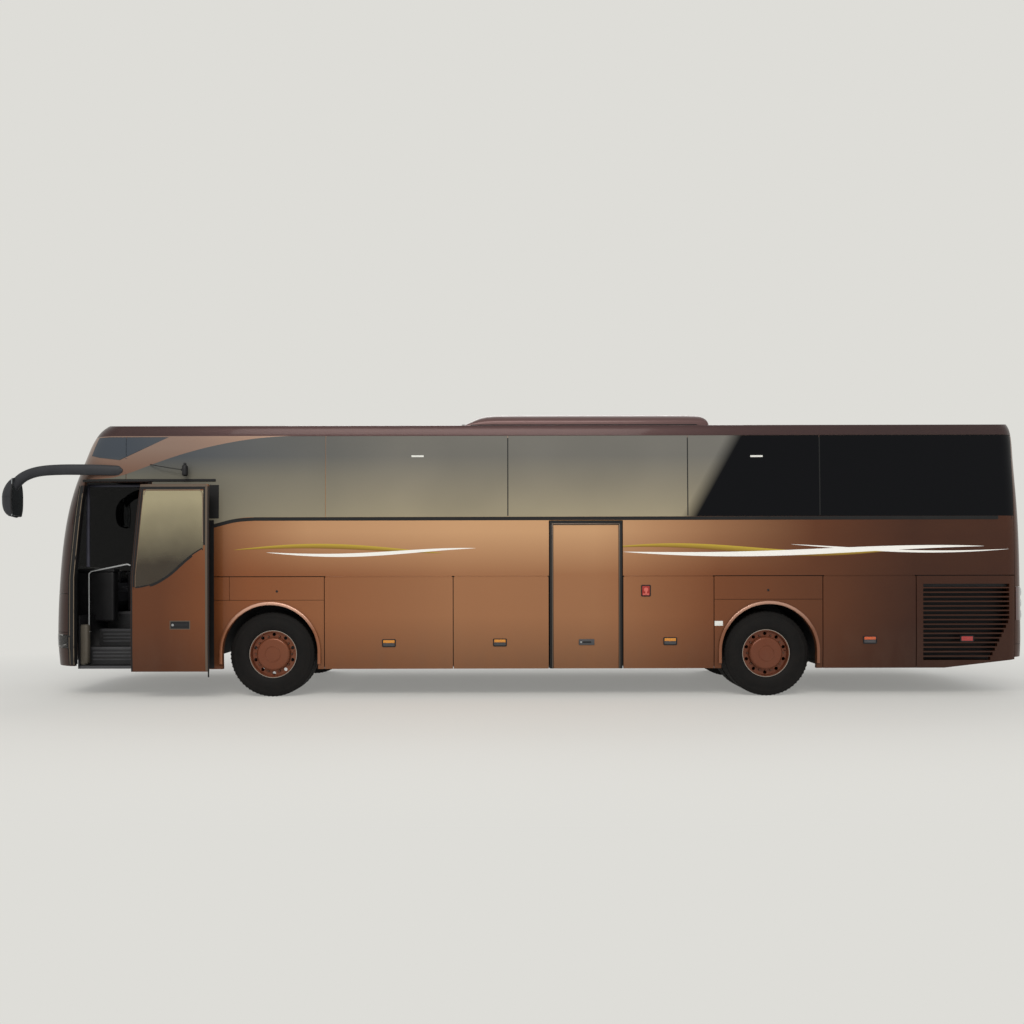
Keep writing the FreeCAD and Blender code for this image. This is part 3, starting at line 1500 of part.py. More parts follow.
def handrails():
    """Grab poles beside the entrance and the middle stairs."""
    radius = arm_radius
    top = cab_floor + back_height + cushion_height * 0.5
    x = doorway_back + 4 * pillar_radius
    y = -rail_outer + 4 * pillar_radius
    first = [rod(Vector(x, y, cab_floor + seat_gap), Vector(x, y, top), radius)]
    far = x + seat_pitch * 0.6
    first.append(rod(Vector(far, y, cab_floor + seat_gap), Vector(far, y, top), radius))
    first.append(rod(Vector(x, y, top - 2 * radius), Vector(far, y, top - 2 * radius), radius * 0.8))
    head = aisle_floor + back_height
    inner = landing_edge() + 2 * pillar_radius
    second = []
    for station in (mid_doorway_front + 2 * plate, mid_doorway_back - 2 * plate):
        second.append(rod(Vector(station, inner, aisle_floor + seat_gap), Vector(station, inner, head), radius))
    second.append(rod(Vector(mid_doorway_front + 2 * plate, inner, head - 2 * radius),
                      Vector(mid_doorway_back - 2 * plate, inner, head - 2 * radius), radius * 0.8))
    return Part.makeCompound([fused(first), fused(second)])


def mirror_section(centre, along, deep, wide):
    """An oval section across the mirror arm."""
    up = along.cross(Vector(0, 1, 0)).normalize()
    across = up.cross(along).normalize()
    around = [2 * math.pi * i / 12 for i in range(12)]
    ring = Part.BSplineCurve()
    ring.interpolate([centre + across * (wide / 2 * math.cos(a)) + up * (deep / 2 * math.sin(a)) for a in around],
                     PeriodicFlag=True)
    return Part.Wire(ring.toShape())


def mirror_path():
    """The nearside arm's line from the pillar forwards, outwards and down."""
    root_x = front_axle + mirror_arm_root
    tip_x = -half_span + mirror_head_long / 2
    run = root_x - tip_x
    y_root = -half_width - mirror_arm_wide * 0.2
    y_tip = -half_width - mirror_reach + mirror_head_wide / 2
    shares = ((0.0, 0.0, 0.0), (0.25, 0.1, 0.0), (0.55, 0.45, 0.01), (0.78, 0.85, 0.1), (0.97, 1.0, 0.42),
              (0.99, 1.0, 0.85))
    drop = mirror_head_deep * 0.55
    return [Vector(root_x - run * a, y_root + (y_tip - y_root) * b, mirror_arm_level - drop * c)
            for a, b, c in shares]


def mirror_arm():
    path = mirror_path()
    wires = []
    for index, point in enumerate(path):
        before, after = path[max(0, index - 1)], path[min(len(path) - 1, index + 1)]
        along = (after - before).normalize()
        slim = 1.0 - 0.35 * index / (len(path) - 1)
        wires.append(mirror_section(point, along, mirror_arm_deep * slim, mirror_arm_wide * slim))
    body = Part.makeLoft(wires, True, False)
    return body.cut(hull(-seat_gap))


def housing_section(z, keep):
    """The mirror housing's plan section: flat at the glass, rounded towards the front."""
    x1 = -half_span + mirror_head_long
    middle = -half_width - mirror_reach + mirror_head_wide / 2
    half = mirror_head_wide / 2 * keep
    back = x1 - mirror_head_long * (1 - keep) * 0.3
    bend = x1 - mirror_head_long * 0.35
    tip = bend - mirror_head_long * 0.65 * keep
    left, right = Vector(back, middle - half, z), Vector(back, middle + half, z)
    bend_left, bend_right = Vector(bend, middle - half, z), Vector(bend, middle + half, z)
    slant = math.sqrt(0.5)
    quarter = bend + (tip - bend) * slant
    front = Part.BSplineCurve()
    front.interpolate([bend_right, Vector(quarter, middle + half * slant, z), Vector(tip, middle, z),
                       Vector(quarter, middle - half * slant, z), bend_left])
    return Part.Wire([Part.LineSegment(left, right).toShape(), Part.LineSegment(right, bend_right).toShape(),
                      front.toShape(), Part.LineSegment(bend_left, left).toShape()])


def mirror_head():
    """The hanging housing, soft at top and bottom."""
    top = mirror_path()[-2].z + mirror_arm_deep * 0.1
    low = top - mirror_head_deep
    levels = ((0.0, 0.74), (0.03, 0.88), (0.12, 0.99), (0.5, 1.0), (0.88, 0.99), (0.97, 0.88), (1.0, 0.74))
    return Part.makeLoft([housing_section(low + mirror_head_deep * z, keep) for z, keep in levels], True, False)


def mirror_hollow():
    """The recess at the back of the housing, where the glass sits."""
    x1 = -half_span + mirror_head_long
    y0 = -half_width - mirror_reach
    top = mirror_path()[-2].z + mirror_arm_deep * 0.1
    edge = mirror_glass_thickness * 4
    return block(x1 - edge, x1 + overrun, y0 + edge, y0 + mirror_head_wide - edge,
                 top - mirror_head_deep + edge, top - edge)


def mirror_pair():
    whole = largest(fused([mirror_arm(), mirror_head()]).cut(mirror_hollow()))
    return Part.makeCompound([whole, mirrored(whole)])


def mirror_glasses():
    """A pane seated at the bottom of each housing's hollow."""
    x0 = -half_span + mirror_head_long - 4 * mirror_glass_thickness + seat_gap
    y0 = -half_width - mirror_reach
    top = mirror_path()[-2].z + mirror_arm_deep * 0.1
    edge = mirror_glass_thickness * 4 + seat_gap
    pane = block(x0, x0 + mirror_glass_thickness, y0 + edge, y0 + mirror_head_wide - edge,
                 top - mirror_head_deep + edge, top - edge)
    return Part.makeCompound([pane, mirrored(pane)])


def wipers():
    """Two long wipers parked along the foot of the windscreen."""
    skin = shell(-4 * panel_gap, -2 * seat_gap)
    shapes = []
    width = arm_radius
    for pivot, tip in ((-screen_half_foot * 0.62, -screen_half_foot * 0.05),
                       (screen_half_foot * 0.42, screen_half_foot * 0.95)):
        low, rise = windscreen_foot - overrun, overrun * 3.2
        lean = (tip - pivot)
        arm = front_prism([(pivot - width, low), (pivot + width, low), (pivot + lean * 0.55 + width / 2, low + rise),
                           (pivot + lean * 0.55 - width / 2, low + rise)], nose - overrun, nose + nose_rake)
        blade = front_prism([(pivot + lean * 0.05, low + rise - width), (pivot + lean, low + rise - width),
                             (pivot + lean, low + rise + width), (pivot + lean * 0.05, low + rise + width)],
                            nose - overrun, nose + nose_rake)
        shapes.append(skin.common(arm.fuse(blade).removeSplitter()))
    return Part.makeCompound(solids_of(shapes))


def luggage_flaps():
    """Each luggage flap's name with its front and rear station and whether it is on the nearside."""
    offside_split = (mid_doorway_front + mid_doorway_back) / 2
    return {
        "flap_one_left": (flap_one_front, flap_two_front, True),
        "flap_two_left": (flap_two_front, mid_doorway_front, True),
        "flap_three_left": (mid_doorway_back, rear_panel_front, True),
        "flap_four_left": (rear_panel_back, tail_panel_front, True),
        "flap_one_right": (flap_one_front, flap_two_front, False),
        "flap_two_right": (flap_two_front, offside_split, False),
        "flap_three_right": (offside_split, rear_panel_front, False),
        "flap_four_right": (rear_panel_back, tail_panel_front, False),
    }


def joined(*shapes):
    """Separate solids kept side by side in one node."""
    return Part.makeCompound(solids_of(shapes))


def parts():
    """Every node's name and its shape."""
    left_patch = side_patch_recess(far_left(), -half_width * 0.6)
    right_patch = side_patch_recess(half_width * 0.6, -far_left())
    made = {
        "side_frames": joined(side_frame_left().cut(left_patch), side_frame_right().cut(right_patch)),
        "side_glass": side_glass(),
        "front_side_glass": front_side_glass(),
        "arch_panels": joined(arch_panels_left(), arch_panels_right(), both_sides(tail_panels_left())),
        "front_frame": front_frame(),
        "front_mask": front_mask(),
        "bumpers": joined(front_bumper(), rear_bumper()),
        "headlamps": headlamps(),
        "windscreen": windscreen(),
        "roof": roof(),
        "roof_hatch_front": roof_hatch(hatch_front_station),
        "roof_hatch_rear": roof_hatch(hatch_rear_station),
        "roof_cooler": roof_cooler(),
        "rear_mask": rear_mask(),
        "tail_lamps": tail_lamps(),
        "engine_lid": engine_lid(),
        "engine": engine(),
        "entrance_leaf": front_leaf(),
        "entrance_glass": front_leaf_glass(),
        "entrance_arm": front_arm(),
        "middle_leaf": mid_leaf(),
        "middle_arm": mid_arm(),
        "pillar_bearings": pillar_bearings(),
        "entry_steps": joined(entry_steps(), mid_steps()),
        "cab_deck": cab_deck(),
        "floor_deck": floor_deck(),
        "bulkheads": joined(bulkheads(), well_lining(), seam_posts()),
        "bay_floors": bay_floors(),
        "rails": joined(front_rails(), back_rails()),
        "wheel_liners": wheel_liners(),
        "axles": joined(front_beam(), rear_housing()),
        "air_springs": air_springs(),
        "knuckle_left": knuckle(),
        "knuckle_right": mirrored(knuckle()),
        "passenger_seats": passenger_seats(),
        "crew_seats": crew_seats(),
        "parcel_racks": parcel_racks(),
        "dashboard": dashboard(),
        "steering_wheel": steering_wheel(),
        "handrails": handrails(),
        "mirrors": mirror_pair(),
        "mirror_glasses": mirror_glasses(),
        "wipers": wipers(),
    }
    for name, builder in (("rim_front", front_rim), ("rims_rear", rear_rims), ("tyre_front", front_tyre),
                          ("tyres_rear", rear_tyres)):
        made[name + "_left"] = builder()
        made[name + "_right"] = mirrored(made[name + "_left"])
    for name, (front, back, nearside) in luggage_flaps().items():
        made[name] = flap(front, back) if nearside else mirrored(flap(front, back))
    return made


def main():
    os.makedirs("parts", exist_ok=True)
    for name, shape in parts().items():
        shape.exportStep(os.path.join("parts", name + ".step"))


main()
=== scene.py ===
import bmesh
import bpy
from math import cos, hypot, pi, radians, sin, sqrt
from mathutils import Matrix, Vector
from mathutils.bvhtree import BVHTree


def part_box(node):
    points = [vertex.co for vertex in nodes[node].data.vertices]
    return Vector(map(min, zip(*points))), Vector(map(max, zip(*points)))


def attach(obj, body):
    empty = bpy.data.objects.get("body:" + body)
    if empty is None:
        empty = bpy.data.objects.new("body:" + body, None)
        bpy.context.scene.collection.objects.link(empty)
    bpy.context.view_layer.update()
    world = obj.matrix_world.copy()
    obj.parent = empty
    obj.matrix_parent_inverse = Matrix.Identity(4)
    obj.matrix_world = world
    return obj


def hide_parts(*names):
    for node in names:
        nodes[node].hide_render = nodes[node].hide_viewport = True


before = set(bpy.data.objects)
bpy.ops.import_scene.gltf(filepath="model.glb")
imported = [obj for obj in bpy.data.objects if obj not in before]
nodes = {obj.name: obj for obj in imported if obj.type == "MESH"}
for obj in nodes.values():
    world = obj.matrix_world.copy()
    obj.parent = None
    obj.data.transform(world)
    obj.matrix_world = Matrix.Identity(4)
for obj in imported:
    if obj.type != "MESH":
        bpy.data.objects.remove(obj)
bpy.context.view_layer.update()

# Places on the coach, in metres, taken from the frame
front_tyre_low, front_tyre_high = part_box("tyre_front_left")
rear_tyre_low, rear_tyre_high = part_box("tyres_rear_left")
front_axle = (front_tyre_low.x + front_tyre_high.x) / 2
rear_axle = (rear_tyre_low.x + rear_tyre_high.x) / 2
hub_height = (front_tyre_low.z + front_tyre_high.z) / 2
leaf_low, leaf_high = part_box("entrance_leaf")
middle_low, middle_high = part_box("middle_leaf")
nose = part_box("front_mask")[0].x
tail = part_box("rear_mask")[1].x
side = 1.275

# Levels and spacings of the coach, in metres
waist = 1.479
belt_foot, belt_top = 2.16, 2.205
row_count, first_row, row_pitch = 11, -3.1025, 0.79
step_foot, step_rise = 0.384, 0.208
plate_wide, plate_high = 0.52, 0.11
lamp_middle = Vector((-5.35, -0.775, 0.69))

# The camera's place, and what a pixel of the photograph spans on the side wall and on the open door
camera_x, camera_z = -0.106, 1.6
side_pixel, leaf_pixel = 0.0122, 0.01191
hub_column, ground_row = 270.3, 697.5


# Shader sums

class Value:
    """A changing value in a material, which can be written in sums."""

    def __init__(self, finish, socket):
        self.finish, self.socket = finish, socket

    def math(self, operation, *terms):
        return self.finish.node("ShaderNodeMath", {"operation": operation}, dict(enumerate(terms)))

    def __add__(self, other):
        return self.math("ADD", self, other)

    def __sub__(self, other):
        return self.math("SUBTRACT", self, other)

    def __rsub__(self, other):
        return self.math("SUBTRACT", other, self)

    def __mul__(self, other):
        return self.math("MULTIPLY", self, other)

    def __truediv__(self, other):
        return self.math("DIVIDE", self, other)

    def __gt__(self, other):
        return self.math("GREATER_THAN", self, other)

    def __lt__(self, other):
        return self.math("LESS_THAN", self, other)

    __radd__, __rmul__ = __add__, __mul__

    def size(self):
        return self.math("ABSOLUTE", self)

    def wave(self):
        return self.math("SINE", self)

    def power(self, other):
        return self.math("POWER", self, other)

    def least(self, other):
        return self.math("MINIMUM", self, other)

    def most(self, other):
        return self.math("MAXIMUM", self, other)

    def repeat(self, length):
        """Distance from the nearest multiple of a length, as a share of it from 0 to 0.5."""
        share = self.math("FRACT", self.math("DIVIDE", self, length))
        return (share - 0.5).size()

    def ramp(self, low, high):
        """0 below low, 1 above high and even in between. A high under low turns it round."""
        return self.finish.node("ShaderNodeMapRange", {"clamp": True},
                                {"Value": self, "From Min": low, "From Max": high})


class Finish:
    """One material: a main shader and the nodes that feed it."""

    def __init__(self, name, tree=None, **fixed):
        self.tree = tree
        if tree is None:
            self.material = bpy.data.materials.new(name)
            self.material.use_nodes = True
            self.tree = self.material.node_tree
            self.shader = self.tree.nodes["Principled BSDF"]
        for socket, value in fixed.items():
            self.shader.inputs[socket.replace("_", " ")].default_value = value

    def put(self, socket, value):
        if isinstance(value, Value):
            self.tree.links.new(value.socket, socket)
        elif isinstance(value, (tuple, list)) and socket.type == "RGBA" and len(value) == 3:
            socket.default_value = (*value, 1)
        else:
            socket.default_value = value

    def node(self, kind, settings=None, values=None, out=0):
        """Adds a node: its settings first, then its socket values or links."""
        made = self.tree.nodes.new(kind)
        for key, value in (settings or {}).items():
            if key == "stops":
                ramp = made.color_ramp
                for stop, (at, colour) in enumerate(value):
                    point = ramp.elements[stop] if stop < 2 else ramp.elements.new(at)
                    point.position, point.color = at, (*colour, 1)
            else:
                setattr(made, key, value)
        for key, value in (values or {}).items():
            self.put(made.inputs[key], value)
        return Value(self, made.outputs[out])

    def feed(self, **links):
        for socket, value in links.items():
            self.put(self.shader.inputs[socket.replace("_", " ")], value)
        return self

    def place(self):
        """A place on the surface, in metres in the coach's frame."""
        return self.node("ShaderNodeTexCoord", out="Object")

    def parts(self, at):
        """How far along, across and up a place is."""
        split = self.node("ShaderNodeSeparateXYZ", None, {0: at}).socket.node
        return [Value(self, split.outputs[k]) for k in range(3)]

    def noise(self, at, scale, detail=2.0, rough=0.5, stretch=None):
        if stretch:
            at = self.node("ShaderNodeVectorMath", {"operation": "MULTIPLY"}, {0: at, 1: stretch})
        return self.node("ShaderNodeTexNoise", None,
                         {"Vector": at, "Scale": scale, "Detail": detail, "Roughness": rough})

    def blend(self, amount, first, second):
        """Mixes two colours."""
        made = self.tree.nodes.new("ShaderNodeMix")
        made.data_type = "RGBA"
        for index, value in ((0, amount), (6, first), (7, second)):
            self.put(made.inputs[index], value)
        return Value(self, made.outputs[2])

    def bump(self, height, depth, strength=1.0, over=None):
        values = {"Height": height, "Distance": depth, "Strength": strength}
        if over:
            values["Normal"] = over
        return self.node("ShaderNodeBump", None, values)


def tone(red, green, blue):
    """A colour as a screen shows it, turned into the renderer's own terms."""
    shown = [c / 255 for c in (red, green, blue)]
    return tuple(((c + 0.055) / 1.055) ** 2.4 if c > 10 / 255 else c / 12.92 for c in shown)


# Materials

brown = tone(136, 80, 46)
# The painted shade of the brown, for the tail, the front and the foot.
brown_painted_shade = tone(44, 20, 13)
dust_colour = tone(120, 100, 84)
white_stripe = tone(240, 238, 232)


# Each ribbon: start, end, level, swing, turns, phase and breadth, in metres and radians
gold_ribbons = ((1.05, 4.6, 1.8, 0.052, 0.9, 0.5, 0.036), (-3.5, -0.95, 1.8, 0.05, 0.62, 0.1, 0.03))
white_ribbons = ((1.25, 5.65, 1.79, 0.046, 0.72, 3.5, 0.034), (3.3, 5.95, 1.83, 0.06, 0.5, 2.6, 0.014),
                 (-3.1, -0.55, 1.78, 0.042, 0.7, 3.3, 0.022))


def ribbon(at_x, z, start, end, level, swing, turns, phase, broad):
    """A tapering ribbon that waves along the side: where it covers, and how far across it."""
    share = (at_x - start) / (end - start)
    middle = ((share * (2 * pi * turns)) + phase).wave() * swing + level
    inside = (share > 0) * (share < 1)
    taper = (share * pi).wave().most(0.0).power(0.8)
    across = (z - middle) / (taper * broad + 0.0005)
    return across.size().ramp(1.0, 0.94) * inside, across


def paint(name, stripes=False, dust_and_painted_light=True, light=brown, painted_shade_colour=brown_painted_shade, coat=0.3):
    """Clear-coated metallic paint, with fine flake, slow colour drift and road dust low down, and painted
    light: painted shade towards the tail, the front, the nose and the foot, a painted highlight over the
    middle of the side, and a paler painted reflection up towards the roof.
    """
    f = Finish(name, Coat_Weight=coat, Coat_Roughness=0.05, Coat_IOR=1.45, Specular_IOR_Level=0.16)
    at = f.place()
    x, _, z = f.parts(at)
    drift = f.noise(at, 0.55, 3.0)
    flake = f.noise(at, 650.0, 1.0)
    # Slow colour drift, plus painted shade: darker towards the tail, the front and the nose.
    drift_and_painted_shade = drift.ramp(0.3, 0.7) * 0.1 + x.ramp(1.4, 4.8) * 0.85 + x.ramp(-3.3, -4.3) * 0.52
    drift_and_painted_shade = (drift_and_painted_shade + x.ramp(-5.1, -5.6) * 0.6).least(1.0)
    colour = f.blend(drift_and_painted_shade, light, painted_shade_colour)
    if dust_and_painted_light:
        # Painted highlight: a warm glow over the middle of the side and along the belt.
        lit = x.ramp(-3.3, -0.8) * x.ramp(2.4, 0.9) * 0.22
        high = z.ramp(1.5, 2.02) * x.ramp(3.6, 0.9) * x.ramp(-4.0, -2.6) * 0.5
        colour = f.blend((lit + high).least(1.0), colour, tone(216, 172, 128))
    colour = f.blend(flake.ramp(0.62, 0.85) * 0.25, colour, tone(190, 140, 100))
    rough = flake * 0.1 + 0.28
    shine = flake * 0.05 + 0.3
    if dust_and_painted_light:
        cloud = f.noise(at, 5.0, 5.0, 0.65, (1.0, 1.0, 0.35))
        low = z.ramp(0.95, 0.3) * cloud.ramp(0.35, 0.8) * 0.22
        colour = f.blend(low, colour, dust_colour)
        rough = rough + low * 0.5
        # Painted shade: darker towards the foot.
        colour = f.blend(z.ramp(1.0, 0.4) * 0.36, colour, painted_shade_colour)
        # Painted reflection: paler up towards the roof.
        colour = f.blend(z.ramp(2.5, 3.05) * 0.75, colour, tone(146, 126, 114))
    if stripes:
        gold_dark, gold_light = tone(120, 84, 34), tone(196, 170, 62)
        white = None
        for strand in gold_ribbons:
            cover, across = ribbon(x, z, *strand)
            colour = f.blend(cover * 0.96, colour, f.blend(across.ramp(-1.0, 1.0), gold_dark, gold_light))
        for strand in white_ribbons:
            cover, _ = ribbon(x, z, *strand)
            colour = f.blend(cover, colour, white_stripe)
            white = white.most(cover) if white else cover
        shine = (1 - white) * shine
    peel = f.noise(at, 55.0, 2.0)
    f.feed(Base_Color=colour, Roughness=rough, Metallic=shine, Normal=f.bump(peel, 0.0012, 0.12))
    return f.material


def bead_finish():
    """Paint of the arch beads, paler over the top as a painted highlight, and darker towards the tail as
    painted shade.
    """
    f = Finish("arch bead paint", Metallic=0.3, Coat_Weight=0.4, Coat_Roughness=0.05)
    at = f.place()
    x, _, z = f.parts(at)
    flake = f.noise(at, 650.0, 1.0)
    # Painted highlight over the top, then painted shade towards the tail.
    shade = f.blend(z.ramp(0.82, 1.1), brown, tone(206, 158, 134))
    shade = f.blend(x.ramp(1.0, 5.4) * 0.75, shade, tone(92, 56, 42))
    f.feed(Base_Color=f.blend(flake.ramp(0.6, 0.85) * 0.2, shade, tone(220, 190, 170)),
           Roughness=flake * 0.1 + 0.25)
    return f.material


def tinted_glass():
    """Grey privacy glass with painted reflections: a paler, warmer foot, darker and bluer towards the nose,
    and darker from the fourth pane back.
    """
    f = Finish("side glazing", Roughness=0.03, IOR=1.33, Specular_IOR_Level=0.22)
    at = f.place()
    x, y, z = f.parts(at)
    # Painted reflection: paler and warmer at the foot.
    colour = f.blend(z.ramp(2.2, 2.95), tone(156, 146, 122), tone(112, 110, 104))
    # Painted reflection: darker and bluer towards the nose.
    nose_shade = f.blend(z.ramp(2.7, 2.95), tone(104, 102, 92), tone(68, 74, 82))
    colour = f.blend(x.ramp(-4.8, -1.5), nose_shade, colour)
    wash = f.noise(at, 0.8, 2.0)
    colour = f.blend(wash.ramp(0.35, 0.75) * 0.2, colour, tone(60, 62, 60))
    # Painted reflection: nearly black from the fourth pane back.
    colour = f.blend((x - z * 0.56).ramp(0.72, 0.92), colour, tone(7, 8, 12))
    facing = f.node("ShaderNodeSeparateXYZ", None, {0: f.node("ShaderNodeNewGeometry", out="Normal")}, 1)
    f.feed(Base_Color=f.blend(facing * y < 0, colour, tone(14, 15, 16)))
    return f.material


def clear_glass(name, colour, alpha, haze=0.2, low=None, ior=1.5):
    """See-through glass with a faint smear, and a darker foot where one is given."""
    f = Finish(name, Roughness=0.02, IOR=ior, Alpha=alpha)
    at = f.place()
    if low:
        height = f.parts(at)[2] + f.noise(at, 3.0, 2.0) * 0.2
        colour = f.blend(height.ramp(2.5, 1.75), colour, low)
    smear = f.noise(at, 2.5, 3.0)
    f.feed(Base_Color=f.blend(smear.ramp(0.3, 0.8) * haze, colour, tone(90, 92, 84)))
    return f.material


def grained(name, colour, rough=0.55, scale=420.0, depth=0.0004, worn=None):
    """Moulded plastic or rubber: fine grain, a little uneven in colour and shine."""
    f = Finish(name, Specular_IOR_Level=0.3)
    at = f.place()
    cloud = f.noise(at, 6.0, 4.0, 0.6)
    grain = f.noise(at, scale, 2.0)
    shade = f.blend(cloud.ramp(0.3, 0.75) * 0.5, colour, worn or tuple(c * 1.7 + 0.004 for c in colour))
    f.feed(Base_Color=shade, Roughness=cloud * 0.18 + (rough - 0.09), Normal=f.bump(grain, depth, 0.5))
    return f.material


def metal(name, colour, rough=0.3, stretch=None):
    """Brushed or polished metal with faint streaks."""
    f = Finish(name, Metallic=1.0)
    at = f.place()
    streak = f.noise(at, 60.0, 4.0, 0.6, stretch or (1.0, 1.0, 12.0))
    f.feed(Base_Color=f.blend(streak.ramp(0.3, 0.8) * 0.4, colour, tuple(c * 0.6 for c in colour)),
           Roughness=streak * 0.16 + (rough - 0.06))
    return f.material


def lens(name, colour, ribs=0.008):
    """A moulded lens with fine prisms behind a glossy face."""
    f = Finish(name, Roughness=0.12, Coat_Weight=0.8, Coat_Roughness=0.02)
    at = f.place()
    prism = f.parts(at)[2].repeat(ribs)
    fleck = f.noise(at, 90.0, 2.0)
    shade = f.blend(prism.ramp(0.1, 0.45), tuple(c * 0.45 for c in colour), colour)
    shade = f.blend(fleck.ramp(0.5, 0.8) * 0.3, shade, tuple(min(1.0, c * 1.5 + 0.05) for c in colour))
    f.feed(Base_Color=shade, Normal=f.bump(prism, 0.001, 0.6))
    return f.material


def tyre_rubber():
    """Sidewall rubber with moulded rings, dusty towards the tread."""
    f = Finish("tyre rubber", Specular_IOR_Level=0.2)
    at = f.place()
    grain = f.noise(at, 300.0, 3.0)
    dust = f.noise(at, 9.0, 5.0, 0.7)
    shade = f.blend(dust.ramp(0.35, 0.8) * 0.35, tone(12, 11, 11), tone(38, 33, 30))
    f.feed(Base_Color=shade, Roughness=dust * 0.2 + 0.6, Normal=f.bump(grain, 0.0006, 0.5))
    return f.material


def moquette():
    """Woven seat fabric: a small two-tone weave with a sprinkled fleck."""
    f = Finish("seat moquette", Sheen_Weight=0.35, Sheen_Roughness=0.5)
    at = f.place()
    x, y, z = f.parts(at)
    weave = (x * 1.0 + z * 1.0).repeat(0.006) + (y * 1.0 + z * 0.6).repeat(0.006)
    fleck = f.noise(at, 70.0, 2.0)
    cloud = f.noise(at, 7.0, 3.0)
    shade = f.blend(cloud.ramp(0.3, 0.8), tone(36, 38, 52), tone(52, 52, 66))
    shade = f.blend(fleck.ramp(0.62, 0.7) * 0.8, shade, tone(150, 104, 70))
    f.feed(Base_Color=shade, Roughness=cloud * 0.1 + 0.82, Normal=f.bump(weave, 0.0012, 0.7))
    return f.material


def floor_sheet():
    """Speckled safety floor sheet, scuffed where people walk."""
    f = Finish("floor sheet")
    at = f.place()
    speck = f.noise(at, 240.0, 2.0)
    scuff = f.noise(at, 4.0, 5.0, 0.7)
    shade = f.blend(scuff.ramp(0.4, 0.8) * 0.6, tone(30, 31, 34), tone(48, 46, 44))
    shade = f.blend(speck.ramp(0.62, 0.68), shade, tone(84, 84, 86))
    f.feed(Base_Color=shade, Roughness=scuff * 0.2 + 0.5, Normal=f.bump(speck, 0.0004, 0.4))
    return f.material


def chassis_paint():
    """Black chassis paint with road dirt."""
    f = Finish("chassis paint", Metallic=0.1)
    at = f.place()
    dirt = f.noise(at, 6.0, 6.0, 0.7)
    shade = f.blend(dirt.ramp(0.4, 0.75) * 0.6, tone(20, 20, 21), tone(70, 60, 50))
    f.feed(Base_Color=shade, Roughness=dirt * 0.3 + 0.45, Normal=f.bump(dirt, 0.003, 0.3))
    return f.material


def mirror_finish():
    """Silvered glass with a faint haze."""
    f = Finish("mirror glass", Metallic=1.0)
    at = f.place()
    haze = f.noise(at, 3.0, 2.0)
    f.feed(Base_Color=f.blend(haze, tone(205, 210, 212), tone(188, 194, 198)), Roughness=haze * 0.03 + 0.015)
    return f.material


body_paint = paint("body paint")
side_paint = paint("side paint", stripes=True)
roof_paint = paint("roof paint", dust_and_painted_light=False, light=tone(72, 52, 52), painted_shade_colour=tone(54, 41, 41), coat=0.15)
# A lighter copy of the roof paint: the cooler pod painted lit, a painted highlight.
lit_pod_paint = paint("pod paint", dust_and_painted_light=False, light=tone(98, 75, 74), painted_shade_colour=tone(84, 64, 64), coat=0.15)
bead_paint = bead_finish()
wheel_paint = paint("wheel paint", light=tone(120, 64, 40), painted_shade_colour=tone(100, 54, 36))
glazing = tinted_glass()
# The door glass's pale warm colour is a painted reflection.
door_glass = clear_glass("door glass", tone(164, 154, 122), 0.9, 0.1, tone(52, 42, 28))
screen_glass = clear_glass("windscreen glass", tone(16, 18, 20), 0.88, 0.05, ior=1.25)
lamp_glass = clear_glass("lamp glass", tone(34, 30, 29), 0.62)
seal_rubber = grained("seal rubber", tone(14, 14, 15), 0.6, 260.0)
trim_black = grained("black trim", tone(20, 20, 22), 0.5)
trim_grey = grained("grey trim", tone(66, 66, 68), 0.5)
trim_dark = grained("dark interior trim", tone(38, 39, 43), 0.55)
lining = grained("pale lining", tone(150, 148, 142), 0.7, 300.0, 0.0003, tone(126, 124, 118))
steel = metal("bare steel", tone(176, 178, 180), 0.3)
bright = metal("bright ring", tone(176, 164, 154), 0.26)
nut_finish = metal("browned steel", tone(104, 78, 66), 0.4)
dark_metal = metal("dark metal", tone(60, 60, 62), 0.4)
bronze = metal("bronze edging", tone(150, 134, 116), 0.28)
edge_metal = metal("door edge guard", tone(112, 100, 90), 0.42)
cast_iron = metal("cast iron", tone(70, 68, 66), 0.6)
amber = lens("amber lens", tone(236, 150, 24))
orange = lens("orange lens", tone(222, 92, 24))
red = lens("red lens", tone(176, 24, 20))
smoked = lens("smoked lens", tone(70, 16, 16), 0.012)
silver_bowl = lens("lamp bowl", tone(206, 208, 210), 0.02)
rubber = tyre_rubber()
fabric = moquette()
flooring = floor_sheet()
chassis = chassis_paint()
mirror_face = mirror_finish()
plate_white = grained("blank plate", tone(226, 226, 220), 0.4, 200.0, 0.0001, tone(206, 206, 198))
plate_red = grained("red plate", tone(160, 52, 44), 0.4, 200.0, 0.0001, tone(140, 46, 40))
knob_pink = grained("red knob", tone(206, 104, 92), 0.4, 200.0, 0.0001, tone(190, 96, 84))
leather = grained("seat leather", tone(58, 50, 46), 0.5, 150.0, 0.0012, tone(84, 72, 62))
piping_cloth = grained("seat piping", tone(150, 96, 60), 0.7, 500.0, 0.0003)
chrome = metal("lamp chrome", tone(214, 216, 220), 0.14)
lamp_white = lens("white lens", tone(206, 208, 206), 0.012)
stone_trim = grained("stair post", tone(98, 92, 82), 0.55, 240.0, 0.0003, tone(74, 70, 62))
slate_trim = grained("slate trim", tone(58, 58, 68), 0.5)
screen_face = grained("screen face", tone(14, 18, 24), 0.2, 200.0, 0.0001)

